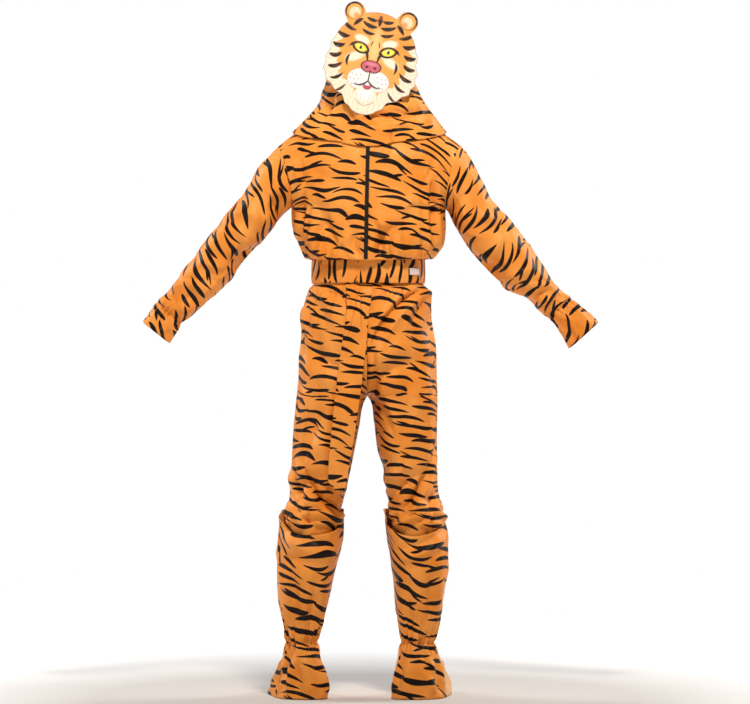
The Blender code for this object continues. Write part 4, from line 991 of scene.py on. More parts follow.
def makeSleeve(side):
    seed = sleeve[side]["seed"]
    u, v = grid(*sleeve["grid"], sleeve["width"])
    around = u if side == "right" else 1 - u
    degrees = 180 - 360 * around
    base = sleeveTube(side, degrees, v)
    height = np.zeros_like(v)
    for along, middle, reach, slant, width, depth in sleeveFolds[side]:
        turn = (degrees - middle + 180) % 360 - 180
        fade = np.cos(math.pi / 2 * np.clip(turn / reach, -1, 1)) ** 2
        away = (v - along - slant * turn / 90) * sleeve["length"] / width * sleeve["foldNarrowing"]
        height += sleeve["foldStrength"] * depth * fade * foldShape(away, cloth["lipAt"])
    fromWrist = v - sleeve[side]["wrist"]
    reach = sleeve["gatherReach"] * gatherReach(around, seed)
    closeBy = np.exp(-((fromWrist / reach) ** 2))
    height += sleeve["gatherDepth"] * closeBy * unevenGathers(around, sleeve["gatherCount"], seed)
    height -= sleeve["pinch"] * np.exp(-((fromWrist / sleeve["pinchReach"]) ** 2))
    flare = np.sin(2 * math.pi * sleeve["flareCount"] * around + 1.5 * np.sin(2 * math.pi * around))
    height += sleeve["flareDepth"] * flare * softStep(0.02, 0.11, fromWrist)
    height += lively(base, seed, sleeve["chanceSize"])
    height *= softStep(0.0, 0.05, v) * sideFade(u, sleeve["endFade"])
    height += hem((1 - v) * sleeve["length"])
    piece = clothPiece("sleeve" + side.title(), "sleeve_" + side, movedOut(base, height), base, sleeve[side],
                       stripedFaces, (u.shape[1] // 2, u.shape[0] - 1))
    declareCut(piece, base, sleeve["fullness"])


for side in ("left", "right"):
    makeSleeve(side)
print("sleeves made")


# Trousers

trouserFolds = {
    # fromX, fromZ, toX, toZ, width, depth and bend, in millimetres
    "back": (
        (160, -402, 10, -565, 5.5, -8, -23), (163, -422, 35, -575, 12, 7, -20),
        (150, -435, 118, -520, 9, -5, -6), (120, -405, 50, -425, 6, -4.5, -4),
        (-150, -408, -70, -440, 7, -6, 6), (-160, -450, -148, -535, 6, -5, 4),
        (-100, -408, -50, -470, 13, -8, 10), (-60, -620, -150, -560, 20, -8, 10),
        (20, -660, 130, -600, 22, -9.6, 10), (60, -950, 150, -890, 18, -9.6, 10),
        (185, -960, 110, -930, 16, -8, 10), (-190, -950, -110, -900, 18, -9.6, 10),
        (-80, -960, -150, -930, 16, -8, 10), (-145, -430, -100, -530, 14, -5.6, 8),
        (-165, -460, -150, -600, 12, 5.6, 6), (-130, -640, -165, -860, 16, -5.6, 12),
        (-90, -700, -110, -880, 18, 4.8, -8), (12, -560, 20, -690, 8, -6.4, 3),
        (-12, -560, -14, -690, 8, -6.4, -3), (20, -700, 70, -800, 12, -6.4, 8),
        (-20, -700, -60, -790, 12, -6.4, -8), (150, -620, 155, -860, 18, 5.6, 10),
        (110, -640, 100, -840, 16, -5.1, -8), (-155, -920, -65, -991, 8, -10, -6),
        (-190, -965, -125, -1035, 9, -9, -6), (160, -895, 56, -1020, 9, -11, 8),
        (182, -920, 140, -1008, 7, -8, 8), (172, -835, 100, -985, 6, -6.5, 10),
        (90, -860, 68, -960, 6, -5, 4), (-188, -875, -160, -985, 6, -6.5, -6),
        (-168, -865, -100, -980, 6, -7.5, -6), (-108, -960, -68, -1010, 6, 6, 4),
        (-164, -980, -168, -1040, 5, 6, 3), (156, -985, 146, -1040, 5, 6, 3),
        (60, -905, 110, -925, 8, -5.6, 4), (-55, -915, -120, -925, 8, -5.6, 4),
    ),
    "front": (
        (90, -420, 10, -560, 16, -8, 10), (-90, -420, -20, -570, 16, -8, 10),
        (140, -930, 80, -900, 18, -8, 10), (-150, -930, -90, -900, 18, -8, 10),
        (10, -640, 110, -580, 16, -7.2, 10), (-10, -645, -110, -590, 16, -7.2, -10),
        (100, -660, 110, -860, 18, -5.6, 10), (-110, -660, -125, -860, 18, -5.6, -10),
        (60, -940, 170, -985, 12, 7.2, 6), (-70, -940, -180, -985, 12, 7.2, 6),
        (150, -440, 140, -560, 14, 5.6, 6), (-150, -440, -140, -560, 14, 5.6, -6),
    ),
}
trousers = {
    "backGrid": (90, 180),
    "frontGrid": (60, 140),
    "width": 0.20,
    "chanceSize": 0.17,
    "endFade": 0.07,
    "topZ": -0.3331,
    "bottomZ": -1.066,
    "beltEdge": (0.405, 0.425),
    "gatherFromZ": -0.402,
    "gatherCount": 10,
    "gatherDepth": 0.0040,
    "gatherReach": 0.050,
    "kneeZ": -1.008,
    "kneeReach": 0.034,
    "kneeWave": 0.030,
    "tuckedAt": {"back": -1.014, "front": -0.972},
    "kneeDepth": 0.0050,
    "stuffed": 0.0080,
    "fullness": 1.06,
    "backLeft": {"seed": 21, "printShift": (0.018, 0.012), "printLevel": True},
    "backRight": {"seed": 22, "printShift": (0.140, 0.060), "printLevel": True},
    "frontLeft": {"seed": 23, "printShift": (0.075, 0.085), "printLevel": True},
    "frontRight": {"seed": 24, "printShift": (0.012, 0.120), "printLevel": True},
}


def makeTrousers(side, face):
    settings = trousers[face + side.title()]
    seed = settings["seed"]
    u, v = grid(*trousers[face + "Grid"], trousers["width"])
    z = trousers["bottomZ"] + (trousers["topZ"] - trousers["bottomZ"]) * v
    fromOuter = u if (side == "left") == (face == "back") else 1 - u
    base = trouserPanel(side, face, fromOuter, z)
    height = foldHeight(trouserFolds[face], base[..., 0], z)
    reach = trousers["gatherReach"] * gatherReach(fromOuter / 2, seed)
    fade = np.exp(-((np.maximum(trousers["gatherFromZ"] - z, 0.0) / reach) ** 2))
    height += trousers["gatherDepth"] * fade * unevenGathers(fromOuter, trousers["gatherCount"], seed)
    bunch = np.exp(-(((z - trousers["kneeZ"]) / trousers["kneeReach"]) ** 2))
    height += trousers["stuffed"] * bunch
    waves = np.sin(2 * math.pi * ((z + 0.02 * np.sin(5 * fromOuter + seed)) / trousers["kneeWave"]))
    height += trousers["kneeDepth"] * bunch * waves
    height += lively(base, seed, trousers["chanceSize"])
    # below the boot's top the cloth stays inside the boot
    tucked = softStep(0.0, 0.022, trousers["tuckedAt"][face] - z)
    height -= tucked * np.maximum(height + 0.001, 0)
    height *= softStep(*trousers["beltEdge"], -z) * sideFade(fromOuter, trousers["endFade"])
    startColumn = 0 if fromOuter[0, 0] > 0.5 else u.shape[1] - 1
    piece = clothPiece("trousers" + face.title() + side.title(), "trousers_" + face + "_" + side,
                       movedOut(base, height), base, settings, stripedFaces, (startColumn, u.shape[0] - 1))
    declareCut(piece, base, trousers["fullness"])


for side in ("left", "right"):
    for face in ("back", "front"):
        makeTrousers(side, face)
print("trousers made")


# Boot covers

bootFolds = {
    # fromX, fromZ, toX, toZ, width, depth and bend, in millimetres
    "back": (
        (-215, -1030, -90, -1075, 12, -6, -8), (-205, -1060, -100, -1110, 14, 5.3, -8),
        (190, -1040, 90, -1085, 12, -6, 8), (185, -1065, 85, -1115, 14, 5.3, 8),
        (-195, -1150, -185, -1290, 12, -5.3, 6), (-135, -1180, -150, -1310, 11, -5.3, 5),
        (165, -1160, 150, -1300, 12, -5.3, 6), (105, -1180, 118, -1310, 10, -5.3, -5),
        (-190, -1345, -250, -1450, 10, -5.3, 6), (150, -1350, 195, -1455, 10, -5.3, -6),
    ),
    "front": (
        (-200, -1060, -100, -1090, 14, -6, 8), (180, -1060, 80, -1090, 14, -6, 8),
        (-170, -1170, -165, -1300, 12, -5.3, 6), (130, -1170, 125, -1300, 12, -5.3, 6),
    ),
}
boots = {
    "backGrid": (110, 130),
    "frontGrid": (80, 100),
    "width": 0.20,
    "chanceSize": 0.15,
    "endFade": 0.03,
    "ankleZ": -1.3312,
    "hemZ": -1.474,
    "gatherCount": 9,
    "gatherAbove": 1.3,
    "gatherBelow": 0.8,
    "gatherDepth": 0.0090,
    "gatherReach": 0.034,
    "pinch": 0.0030,
    "pinchReach": 0.0060,
    "puff": 0.0015,
    "puffReach": 0.020,
    "stripedReach": 50.0,
    "footCount": 4,
    "footDepth": 0.0060,
    "topWaveCount": 3,
    "topWave": 0.0035,
    "fullness": 1.10,
    "backLeft": {"seed": 31, "printShift": (0.045, 0.100), "printLevel": True, "printScale": 0.90},
    "backRight": {"seed": 32, "printShift": (0.105, 0.030), "printLevel": True, "printScale": 0.90},
    "frontLeft": {"seed": 33, "printShift": (0.0, 0.0)},
    "frontRight": {"seed": 34, "printShift": (0.0, 0.0)},
}


def makeBoot(side, face):
    settings = boots[face + side.title()]
    seed = settings["seed"]
    u, v = grid(*boots[face + "Grid"], boots["width"])
    across = u if side == "left" else 1 - u
    degrees = 180 * across if face == "back" else 180 * across - 180
    base = bootTube(side, degrees, 1 - v)
    z = base[..., 2]
    away = z - boots["ankleZ"]
    reach = boots["gatherReach"] * gatherReach(across / 2, seed)
    reach *= np.where(away > 0, boots["gatherAbove"], boots["gatherBelow"])
    height = unevenGathers(across, boots["gatherCount"], seed)
    height *= boots["gatherDepth"] * np.exp(-((away / reach) ** 2))
    height += foldHeight(bootFolds[face], base[..., 0], z)
    height -= boots["pinch"] * np.exp(-((away / boots["pinchReach"]) ** 2))
    height += boots["puff"] * np.exp(-((np.abs(away) / boots["puffReach"] - 1) ** 2) * 2)
    topWave = np.sin(2 * math.pi * boots["topWaveCount"] * across + 2.0 * np.sin(4 * across + seed))
    height += boots["topWave"] * topWave * softStep(0.90, 1.0, v)
    pleats = np.sin(2 * math.pi * boots["footCount"] * across + 1.3 * np.sin(5 * across + seed))
    height += boots["footDepth"] * pleats * softStep(0.03, 0.07, -away) * (1 - softStep(0.11, 0.14, -away))
    height += lively(base, seed, boots["chanceSize"])
    height *= sideFade(u, boots["endFade"]) * (1 - softStep(0.95, 1.0, 1 - v))
    fromHem = z - boots["hemZ"]
    height += hem(fromHem) * 0.8 * softStep(0.0, 0.002, fromHem)
    materials = {"back": stripedFaces, "front": (peachSatin, peachSatin)}[face]
    piece = clothPiece("boot" + face.title() + side.title(), "boot_" + face + "_" + side,
                       movedOut(base, height), base, settings, materials, (u.shape[1] // 2, 0))
    if face == "front" and side == "left":
        # the striped cloth runs on over the outer side of this foot, as far as the photo shows
        for material in stripedFaces:
            piece.data.materials.append(material)
        striped = (degrees > -boots["stripedReach"]) & (z < boots["ankleZ"])
        striped = striped[:-1, :-1] & striped[1:, 1:]
        piece.data.polygons.foreach_set("material_index", np.where(striped, 2, 0).ravel().astype(np.int32))
    declareCut(piece, base, boots["fullness"])


for side in ("left", "right"):
    for face in ("back", "front"):
        makeBoot(side, face)
print("boot covers made")


# Hood

hoodFolds = {
    # fromX, fromZ, toX, toZ, width, depth and bend, in millimetres
    "back": (
        (-72, 135, -36, 10, 14, -12, 10), (-52, 120, -14, 15, 14, 9, 10), (-30, 20, 190, -2, 18, -7.5, 10),
        (-20, 0, 80, -22, 16, 7.5, 10), (165, 45, 60, 50, 14, -9, 10), (-150, 40, -80, 60, 16, -7.5, 10),
        (-160, 10, -90, 100, 10, 5.3, -6), (-120, 30, -75, 120, 8, -5.3, -6), (170, 15, 110, 90, 10, 6, 6),
        (0, 40, 120, 25, 8, -5.3, -6), (20, 30, 140, 10, 7, 4.5, -6), (-20, 12, -140, -4, 10, -4.5, 6),
    ),
    "front": (
        (-60, 60, 60, -20, 18, -9, 10), (80, 50, -40, 0, 18, 7.5, 10), (-120, 10, 10, -60, 14, -6.7, -10),
        (120, 10, 0, -70, 14, 6, 10),
    ),
}
hood = {
    "backGrid": (150, 90),
    "frontGrid": (100, 56),
    "width": 0.45,
    "chanceSize": 0.14,
    "endFade": 0.07,
    "fullness": 1.05,
    "behindMask": 0.0005,
    "maskX": 0.01,
    "back": {"seed": 41, "printShift": (0.020, 0.100)},
    "front": {"seed": 42, "printShift": (0.090, 0.030)},
}


def makeHood(face):
    u, v = grid(*hood[face + "Grid"], hood["width"])
    base = hoodSheet(face, u if face == "back" else 1 - u, v)
    height = foldHeight(hoodFolds[face], base[..., 0], base[..., 2])
    height += lively(base, hood[face]["seed"], hood["chanceSize"])
    if face == "back":
        # the face sheet keeps the folds behind it flat
        away = np.abs(base[..., 0] - hood["maskX"])
        behind = softStep(0.012, 0.045, base[..., 2]) * (1 - softStep(0.075, 0.11, away))
        height -= behind * np.maximum(height - hood["behindMask"], 0)
    height *= sideFade(u, hood["endFade"]) * softStep(0.04, 0.22, v)
    height += hem(clothLengths(base, 0, 0)[1])
    piece = clothPiece("hood" + face.title(), "hood_" + face, movedOut(base, height), base, hood[face],
                       stripedFaces, (u.shape[1] // 2, 0))
    declareCut(piece, base, hood["fullness"])


for face in ("back", "front"):
    makeHood(face)
print("hood made")


# Belt

belt = {
    "top": -0.3375,
    "bottom": -0.3990,
    "wall": 0.0025,
    "centreX": 0.0035,
    "halfWidth": 0.1475,
    "halfDepth": 0.108,
    "start": -61.0,
    "overlap": 14.0,
    "overlapLift": 0.0040,
    "liftFrom": 0.88,
    "liftTo": 0.955,
    "grid": (300, 18),
    "puckerCount": 60,
    "puckerDepth": 0.00056,
    "stitchInset": 0.004,
    "rounding": 0.0009,
    "seed": 51,
    "printShift": (0.0, 0.118),
    "printTurn": 90.0,
}


def beltPlace(degrees, lift, z):
    angle = np.radians(degrees)
    x = belt["centreX"] + (belt["halfWidth"] + lift) * np.cos(angle)
    return points(x, (belt["halfDepth"] + lift) * np.sin(angle), z)


def makeBelt():
    u, v = plainGrid(*belt["grid"])
    degrees = belt["start"] + (360.0 + belt["overlap"]) * u
    height = belt["top"] - belt["bottom"]
    lift = belt["overlapLift"] * softStep(belt["liftFrom"], belt["liftTo"], u)
    base = beltPlace(degrees, lift, belt["bottom"] + height * v)
    fromEdge = np.minimum(v, 1 - v) * height
    middle = np.sin(math.pi * v)
    pucker = unevenGathers(u, belt["puckerCount"], belt["seed"]) * (0.35 + 0.65 * middle)
    relief = stitchLine(fromEdge, belt["stitchInset"], 0.0011) + belt["rounding"] * middle
    relief += belt["puckerDepth"] * pucker
    return clothPiece("beltBand", "belt", movedOut(base, relief), base, belt, (satin,)), base


hookPatch = {
    "grid": (16, 10),
    "width": 0.034,
    "height": 0.018,
    "wall": 0.0015,
    "lift": 0.0019,
    "degrees": -37.0,
    "z": -0.3690,
}


def makeHookPatch():
    u, v = plainGrid(*hookPatch["grid"])
    turn = math.degrees(2 * hookPatch["width"] / (belt["halfWidth"] + belt["halfDepth"]))
    degrees, z = hookPatch["degrees"] + (u - 0.5) * turn, hookPatch["z"] + (v - 0.5) * hookPatch["height"]
    surface = beltPlace(degrees, hookPatch["wall"] + hookPatch["lift"], z)
    return smallPiece("beltHookPatch", "belt_hook_patch", surface, hookPatch["wall"], hookNylon)


beltPiece, beltBase = makeBelt()
declareCut(beltPiece, beltBase, 1.0,
           [makeHookPatch()])
print("belt made")


# Tail: a flat doubled strip with an inverted pleat at its top

tail = {
    "grid": (60, 170),
    "wall": 0.0022,
    "crowding": 1.4,
    "pleatDepth": 0.007,
    "pleatLength": 0.16,
    "pleatOpening": (0.10, 0.35),
    "valleyDepth": 0.0048,
    "valleyWidth": 0.030,
    "valleySpread": (0.03, 0.30),
    "sway": 0.004,
    "rounding": 0.0010,
    "livelyDepth": 0.0010,
    "chanceSize": 0.14,
    "stitchInset": 0.005,
    "seed": 61,
    "printShift": (0.170, 0.020),
    "printLevel": True,
}


def makeTail():
    u, v = plainGrid(*tail["grid"])
    down = (1 - v) ** tail["crowding"]
    cut = sample(tailSections, down)
    width = cut["right"] - cut["left"]
    x = cut["left"] + width * u
    opening, opens = tail["pleatOpening"]
    openWidth = opening + opens * np.minimum(down / tail["pleatLength"], 1.0)
    fade = 1 - softStep(0.6, 1.0, down / tail["pleatLength"])
    pleat = tail["pleatDepth"] * fade * np.exp(-(((u - 0.50) / openWidth) ** 2))
    # two narrow valleys run down from the pleat's peak and part as they go
    apart, spread = tail["valleySpread"]
    away = np.abs(u - 0.50) - apart - spread * np.minimum(down / 0.30, 1.0)
    valley = np.exp(-((away / tail["valleyWidth"]) ** 2)) * (1 - softStep(0.12, 0.34, down))
    sway = tail["sway"] * np.sin(2 * math.pi * (1.6 * down + 0.3 * u))
    plain = points(x, -cut["back"], cut["z"])
    base = points(x, -(cut["back"] + pleat + sway), cut["z"])
    height = stitchLine(np.minimum(u, 1 - u) * width, tail["stitchInset"], 0.0012)
    height += tail["rounding"] * np.sin(math.pi * u) ** 0.5 - tail["valleyDepth"] * valley
    height += lively(base, tail["seed"], tail["chanceSize"], tail["livelyDepth"])
    height *= softStep(0.0, 0.02, down)
    surface = movedOut(base, height)
    piece = clothPiece("tailStrip", "tail", surface, plain, tail, (satin,), (0, v.shape[0] - 1))
    declareCut(piece, plain, 1.0)


makeTail()
print("tail made")


# Face mask: a printed foam sheet. The face is a plain tiger's, of ellipses and tapered strokes, in
# millimetres from the sheet's middle, with x towards its right and z towards its top

mask = {
    "centre": (0.0145, -0.1020, 0.176),
    "tilt": 11.7,
    "halfWidth": 0.113,
    "top": 0.122,
    "chin": -0.146,
    "lean": 0.05,
    "bend": 1.1,
    "wall": 0.002,
    "earAcross": 0.0690,
    "earUp": 0.1120,
    "earRadius": 0.0270,
    "rings": 92,
    "firstRing": 0.004,
    "ringCrowding": 0.86,
    "steps": 400,
    "tuftCount": 23,
    "tuftDepth": 0.0060,
    "printSoft": 0.8,
}


def maskReach(degrees):
    # how far the sheet reaches from its middle, 0 degrees being its top
    across, up = np.sin(np.radians(degrees)), np.cos(np.radians(degrees))
    degrees = np.abs(degrees)
    height = np.where(up > 0, mask["top"], -mask["chin"])
    reach = 1 / np.sqrt((across / mask["halfWidth"]) ** 2 + (up / height) ** 2)
    cheek = np.exp(-(((degrees - 112) / 20) ** 2))
    jaw = np.exp(-(((degrees - 150) / 16) ** 2))
    reach = reach * (1 + 0.09 * cheek - 0.10 * jaw)
    tufts = np.abs((degrees / 360 * 2 * mask["tuftCount"] + 0.3 * np.sin(degrees / 9)) % 2 - 1)
    furry = softStep(62, 80, degrees) * (1 - softStep(160, 172, degrees))
    reach = reach + mask["tuftDepth"] * (tufts - 0.5) * furry
    # the ears: the far side of a circle, where it stands past the head
    earDistance = math.hypot(mask["earAcross"], mask["earUp"])
    turn = np.radians(degrees - math.degrees(math.atan2(mask["earAcross"], mask["earUp"])))
    inside = mask["earRadius"] ** 2 - (earDistance * np.sin(turn)) ** 2
    ear = np.where(inside > 0, earDistance * np.cos(turn) + np.sqrt(np.maximum(inside, 0)), 0)
    return np.maximum(reach, ear)


def ellipse(x, z, centreX, centreZ, halfX, halfZ, turn=0.0):
    angle = math.radians(turn)
    dx, dz = x - centreX, z - centreZ
    along = dx * math.cos(angle) + dz * math.sin(angle)
    across = -dx * math.sin(angle) + dz * math.cos(angle)
    scale = np.sqrt((along / halfX) ** 2 + (across / halfZ) ** 2)
    return (1 - scale) * min(halfX, halfZ)


def stroke(x, z, start, middle, end, thick, startThick=0.0, endThick=0.0):
    # a bowed mark that is thickest in its middle, or at the end that is given a thickness
    nearest = np.full_like(x, -1e6)
    for step in range(29):
        t = step / 28
        px = (1 - t) ** 2 * start[0] + 2 * t * (1 - t) * middle[0] + t**2 * end[0]
        pz = (1 - t) ** 2 * start[1] + 2 * t * (1 - t) * middle[1] + t**2 * end[1]
        half = startThick * (1 - t) + endThick * t + thick * 4 * t * (1 - t)
        nearest = np.maximum(nearest, half - np.hypot(x - px, z - pz))
    return nearest


# Marks on one half of the face, mirrored to the other: start, middle, end, thickness, the ends' thicknesses
faceMarks = (
    ((0, 112), (0, 98), (0, 84), 3.4, 3.4, 0.0),
    ((6, 101), (20, 97), (34, 104), 3.6, 1.0, 1.6),
    ((4, 84), (22, 78), (42, 92), 4.4, 0.6, 1.8),
    ((6, 66), (22, 60), (40, 72), 3.8, 0.0, 1.6),
    ((46, 98), (58, 90), (66, 76), 4.2, 2.0, 0.0),
    ((54, 66), (72, 66), (88, 80), 4.0, 0.0, 2.6),
    ((68, 50), (82, 42), (100, 54), 4.4, 0.0, 3.0),
    ((76, 28), (90, 14), (106, 24), 4.6, 0.0, 3.0),
    ((80, 4), (92, -12), (110, -6), 4.4, 0.0, 2.8),
    ((74, -20), (88, -40), (108, -36), 4.2, 0.0, 2.4),
    ((66, -46), (78, -66), (96, -66), 3.6, 0.0, 1.8),
    ((54, -74), (64, -92), (78, -96), 3.0, 0.0, 1.2),
    ((58, 4), (70, -10), (60, -30), 3.6, 0.0, 0.0),
    ((6, 48), (12, 40), (10, 30), 1.6, 0.0, 0.0),
)
whiskerDots = ((22, -44), (33, -47), (44, -45), (26, -56), (37, -59), (47, -57), (30, -68), (40, -70))


def paintFace(x, z):
    side = np.abs(x)
    colour = np.empty(x.shape + (3,))
    colour[:] = linear(colours["furOrange"])

    def lay(name, depth, soft=mask["printSoft"], strength=1.0):
        amount = (softStep(-soft, soft, depth) * strength)[..., None]
        colour[:] = colour * (1 - amount) + np.array(linear(colours[name])) * amount

    angle = np.degrees(np.arctan2(side, z))
    edge = maskReach(angle) * 1000
    reach = np.hypot(x, z)
    tooth = np.abs((angle / 7.5 + 0.25 * np.sin(angle / 5)) % 2 - 1)
    lay("furDeep", ellipse(side, z, 0, 96, 26, 40), 22, 0.75)
    lay("furDeep", ellipse(side, z, 62, 52, 26, 34, 20), 20, 0.55)
    lay("furPale", ellipse(side, z, 0, 34, 13, 44), 9, 0.9)
    ruffFrom = edge * (0.70 + 0.16 * softStep(118, 66, angle)) + 10 * (tooth - 0.5)
    lay("ruff", np.minimum(reach - ruffFrom, (angle - 64) * 1.6), 1.4)
    lay("ruff", ellipse(side, z, 36, 46, 20, 10, 16), 3.0)
    lay("ruff", ellipse(side, z, 46, 0, 24, 11, -28), 4.0)
    # ears
    earX, earZ = mask["earAcross"] * 1000, mask["earUp"] * 1000
    lay("line", ellipse(side, z, earX + 2, earZ + 3, 23.5, 23.5), 1.0)
    lay("furOrange", ellipse(side, z, earX + 1, earZ + 1, 20, 20), 1.0)
    lay("earInner", ellipse(side, z, earX, earZ - 1, 13.5, 14.5, 30), 2.0)
    lay("furDeep", ellipse(side, z, earX - 6, earZ - 9, 8, 8), 4.0, 0.8)
    # eyes: an almond between two arcs, heavily rimmed
    eyeX, eyeZ = 36.0, 24.0
    tiltedX = (side - eyeX) * math.cos(0.30) + (z - eyeZ) * math.sin(0.30)
    tiltedZ = (z - eyeZ) * math.cos(0.30) - (side - eyeX) * math.sin(0.30)
    almond = np.minimum(*(ellipse(tiltedX, tiltedZ, 0, middle, 20, 15.5) for middle in (-5, 6)))
    lay("line", almond + 4.6, 0.8)
    lay("irisEdge", almond, 0.8)
    lay("iris", almond - 1.8, 1.6)
    lay("line", np.minimum(almond, ellipse(side, z, eyeX, eyeZ + 1, 3.6, 5.2)), 0.8)
    lay("muzzle", ellipse(x, z, eyeX - 3.5, eyeZ + 4, 1.9, 1.9), 0.7)
    lay("muzzle", ellipse(x, z, -eyeX - 3.5, eyeZ + 4, 1.9, 1.9), 0.7)
    lay("line", stroke(side, z, (20, 17), (13, 8), (13, -10), 1.8, 2.6, 0.4), 0.9)
    lay("line", stroke(side, z, (52, 34), (60, 32), (66, 22), 2.0, 2.4, 0.0), 0.9)
    # muzzle, nose and closed mouth
    lay("line", ellipse(side, z, 24, -55, 32.5, 27.5, -6), 1.2, 0.35)
    lay("muzzle", ellipse(side, z, 23, -55, 31, 26, -6), 2.0)
    lay("ruff", ellipse(side, z, 0, -98, 30, 27), 2.0)
    lay("muzzle", ellipse(side, z, 0, -92, 22, 17), 3.0)
    nose = np.minimum(ellipse(side, z, 0, -20, 24, 15), ellipse(side, z, 10, -14, 16, 20))
    lay("line", nose + 2.2, 1.0)
    lay("nose", nose, 0.9)
    lay("noseLight", ellipse(side, z, 0, -13, 13, 3.5), 2.5, 0.8)
    lay("line", ellipse(side, z, 10.5, -22, 4.2, 2.6, -25), 0.8)
    lay("line", stroke(side, z, (0, -32), (0, -44), (0, -56), 0.3, 1.5, 1.5), 0.8)
    lay("line", stroke(side, z, (0, -56), (14, -76), (36, -70), 1.3, 1.6, 0.7), 0.8)
    lay("tongue", np.minimum(ellipse(side, z, 0, -72, 11, 8), -ellipse(side, z, 0, -60, 13, 9)), 0.9)
    lay("line", stroke(side, z, (0, -122), (16, -118), (28, -104), 0.9, 0.4, 0.0), 0.9, 0.7)
    for dotX, dotZ in whiskerDots:
        lay("line", ellipse(side, z, dotX, dotZ, 1.3, 1.3), 0.6)
    for start, middle, end, thick, startThick, endThick in faceMarks:
        lay("line", stroke(side, z, start, middle, end, thick, startThick, endThick), 0.9)
    # a fine dark line round the printed sheet and short hairs along the ruff
    hairs = np.abs((angle * 1.9 + 0.4 * np.sin(reach / 4)) % 2 - 1)
    lay("furDeep", np.minimum((hairs - 0.86) * 9, reach - ruffFrom + 4), 0.8, 0.35)
    lay("line", reach - edge + 1.1, 0.7, 0.75)
    return colour


def makeMask():
    degrees = np.linspace(-180, 180, mask["steps"], endpoint=False)[None, :]
    share = np.linspace(mask["firstRing"], 1, mask["rings"] + 1)[:, None] ** mask["ringCrowding"]
    reach = maskReach(degrees) * share
    x = reach * np.sin(np.radians(degrees))
    z = reach * np.cos(np.radians(degrees))
    tilt = math.radians(mask["tilt"])
    centreX, centreY, centreZ = mask["centre"]
    depth = mask["bend"] * x * x + mask["lean"] * z
    surface = points(centreX + x * math.cos(tilt) + z * math.sin(tilt), centreY + depth,
                     centreZ + z * math.cos(tilt) - x * math.sin(tilt))
    piece = meshFromGrid("faceMask", surface, closed=True)
    layer = piece.data.color_attributes.new("face", "FLOAT_COLOR", "POINT")
    paint = np.concatenate((paintFace(x * 1000, z * 1000), np.ones(x.shape + (1,))), axis=-1)
    layer.data.foreach_set("color", paint.astype(np.float32).ravel())
    return piece


def maskMaterials():
    # EVA foam sheet, digitally printed: dull, even ink over a fine closed-cell skin
    front, tree, shader = newMaterial("EVA foam, printed face", Roughness=0.55, IOR=1.48)
    paint = addNode(tree, "Attribute", attribute_name="face").outputs["Color"]
    place = addNode(tree, "TexCoord").outputs["Object"]
    grain = addNode(tree, "TexNoise", {"Vector": place, "Scale": 1100.0, "Detail": 2.0}).outputs["Fac"]
    tone = addNode(tree, "MapRange", {"Value": grain, "To Min": 0.94, "To Max": 1.05}).outputs[0]
    toned = addNode(tree, "VectorMath", {0: paint, "Scale": tone}, operation="SCALE").outputs[0]
    tree.links.new(toned, shader.inputs["Base Color"])
    bump = addNode(tree, "Bump", {"Height": grain, "Strength": 0.3, "Distance": 0.0002}).outputs[0]
    tree.links.new(bump, shader.inputs["Normal"])
    back, tree, shader = newMaterial("EVA foam, unprinted back", Roughness=0.8)
    place = addNode(tree, "TexCoord").outputs["Object"]
    cells = addNode(tree, "TexVoronoi", {"Vector": place, "Scale": 900.0}).outputs["Distance"]
    tree.links.new(blend(tree, cells, "boardBack", "boardCells"), shader.inputs["Base Color"])
    bump = addNode(tree, "Bump", {"Height": cells, "Strength": 0.4, "Distance": 0.0003}).outputs[0]
    tree.links.new(bump, shader.inputs["Normal"])
    return front, back


maskPiece = makeMask()
printedFoam, plainFoam = maskMaterials()
giveWall(maskPiece, mask["wall"], 0.0, printedFoam, plainFoam)
maskPiece.modifiers["wall"].material_offset_rim = 1
bindPiece(maskPiece, "face_mask")
print("face mask made")


# Floor, light and camera

stage = {
    "floorZ": startBounds[0][2] - 0.0005,
    "floorRadius": 3.2,
    "glow": (0.7, 2.2),
    "shown": 1.0,
    "horizon": 0.30,
    "above": 0.04,
    "bandTop": 0.10,
    "bandSoft": 0.12,
}
bpy.ops.mesh.primitive_circle_add(vertices=96, radius=stage["floorRadius"], fill_type="NGON",
                                  location=(0, 0, stage["floorZ"]))
floor = bpy.context.object
floor.name = "floor"
# Matt paper: even and pale, with no shine of its own
floorMaterial, floorTree, floorShader = newMaterial("matt paper backdrop", Roughness=0.9,
                                                    Specular_IOR_Level=0.2)
floorPlace = addNode(floorTree, "TexCoord").outputs["Object"]
floorGrain = addNode(floorTree, "TexNoise", {"Vector": floorPlace, "Scale": 3.0}).outputs["Fac"]
floorTree.links.new(blend(floorTree, floorGrain, "floor", "floorPale"), floorShader.inputs["Base Color"])
# painted light: the paper glows with its own emission towards its edge, standing in for the light of a lit
# background
floorReach = addNode(floorTree, "VectorMath", {0: floorPlace}, operation="LENGTH").outputs["Value"]
glowFrom, glowTo = stage["glow"]
floorGlow = addNode(floorTree, "MapRange", {"Value": floorReach, "From Min": glowFrom, "From Max": glowTo})
floorTree.links.new(floorGlow.outputs[0], floorShader.inputs["Emission Strength"])
floorShader.inputs["Emission Color"].default_value = (1, 1, 1, 1)
floor.data.materials.append(floorMaterial)

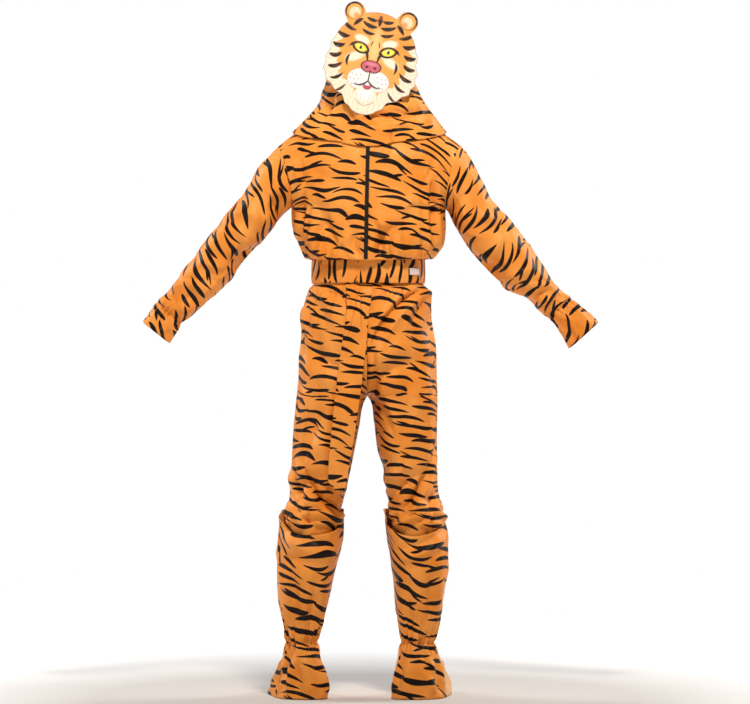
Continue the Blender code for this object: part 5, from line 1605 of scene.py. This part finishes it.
# A light tent: white round the horizon and below, dimmer overhead, so that folds keep their shade
world = bpy.data.worlds.new("studio")
world.use_nodes = True
worldTree = world.node_tree
heading = addNode(worldTree, "TexCoord").outputs["Generated"]
upward = addNode(worldTree, "SeparateXYZ", {0: heading}).outputs["Z"]
band = {"Value": upward, "From Min": stage["bandTop"], "From Max": stage["bandTop"] + stage["bandSoft"],
        "To Min": stage["horizon"], "To Max": stage["above"]}
tent = addNode(worldTree, "MapRange", band).outputs[0]
# the background shows white, and lights the cloth less than it shows
seen = addNode(worldTree, "LightPath").outputs["Is Camera Ray"]
strength = addNode(worldTree, "Mix", {"Factor": seen, "A": tent, "B": stage["shown"]}).outputs["Result"]
worldTree.links.new(strength, worldTree.nodes["Background"].inputs["Strength"])
worldTree.nodes["Background"].inputs["Color"].default_value = (1, 1, 1, 1)
bpy.context.scene.world = world
bpy.context.scene.view_settings.view_transform = "Standard"

lights = {
    # place, size, power, colour; all look at the middle of the costume
    "key": ((0.25, -1.9, 1.9), (0.35, 0.35), 84.0, "lampWarm"),
    "top": ((0.0, 1.6, 4.0), (6.0, 4.0), 60.0, "lampWhite"),
    "fill": ((-2.6, -2.4, 0.2), (1.0, 1.4), 14.0, "lampWhite"),
    "rimLeft": ((-2.6, 1.1, 0.6), (0.9, 2.0), 52.0, "lampWhite"),
    "rimRight": ((2.6, 1.1, 0.6), (0.9, 2.0), 60.0, "lampWhite"),
}
target = (0.0, 0.0, -0.40)
for name, (place, size, power, colour) in lights.items():
    lamp = bpy.data.lights.new(name, "AREA")
    lamp.shape = "RECTANGLE"
    lamp.size, lamp.size_y = size
    lamp.energy = power
    lamp.color = linear(colours[colour])
    holder = bpy.data.objects.new(name, lamp)
    holder.location = place
    away = np.array(place) - np.array(target)
    holder.rotation_euler = (math.atan2(math.hypot(away[0], away[1]), away[2]), 0,
                             math.atan2(away[1], away[0]) + math.pi / 2)
    bpy.context.scene.collection.objects.link(holder)

view = {"distance": 10.0, "x": 0.0208, "z": -0.577, "seenWidth": 1.95}
cameraData = bpy.data.cameras.new("camera")
cameraData.sensor_width = 36.0
cameraData.lens = cameraData.sensor_width * view["distance"] / view["seenWidth"]
cameraData.clip_end = 100.0
camera = bpy.data.objects.new("camera", cameraData)
camera.location = (view["x"], -view["distance"], view["z"])
camera.rotation_euler = (math.pi / 2, 0, 0)
bpy.context.scene.collection.objects.link(camera)
bpy.context.scene.camera = camera

print("cut sizes", cuts)
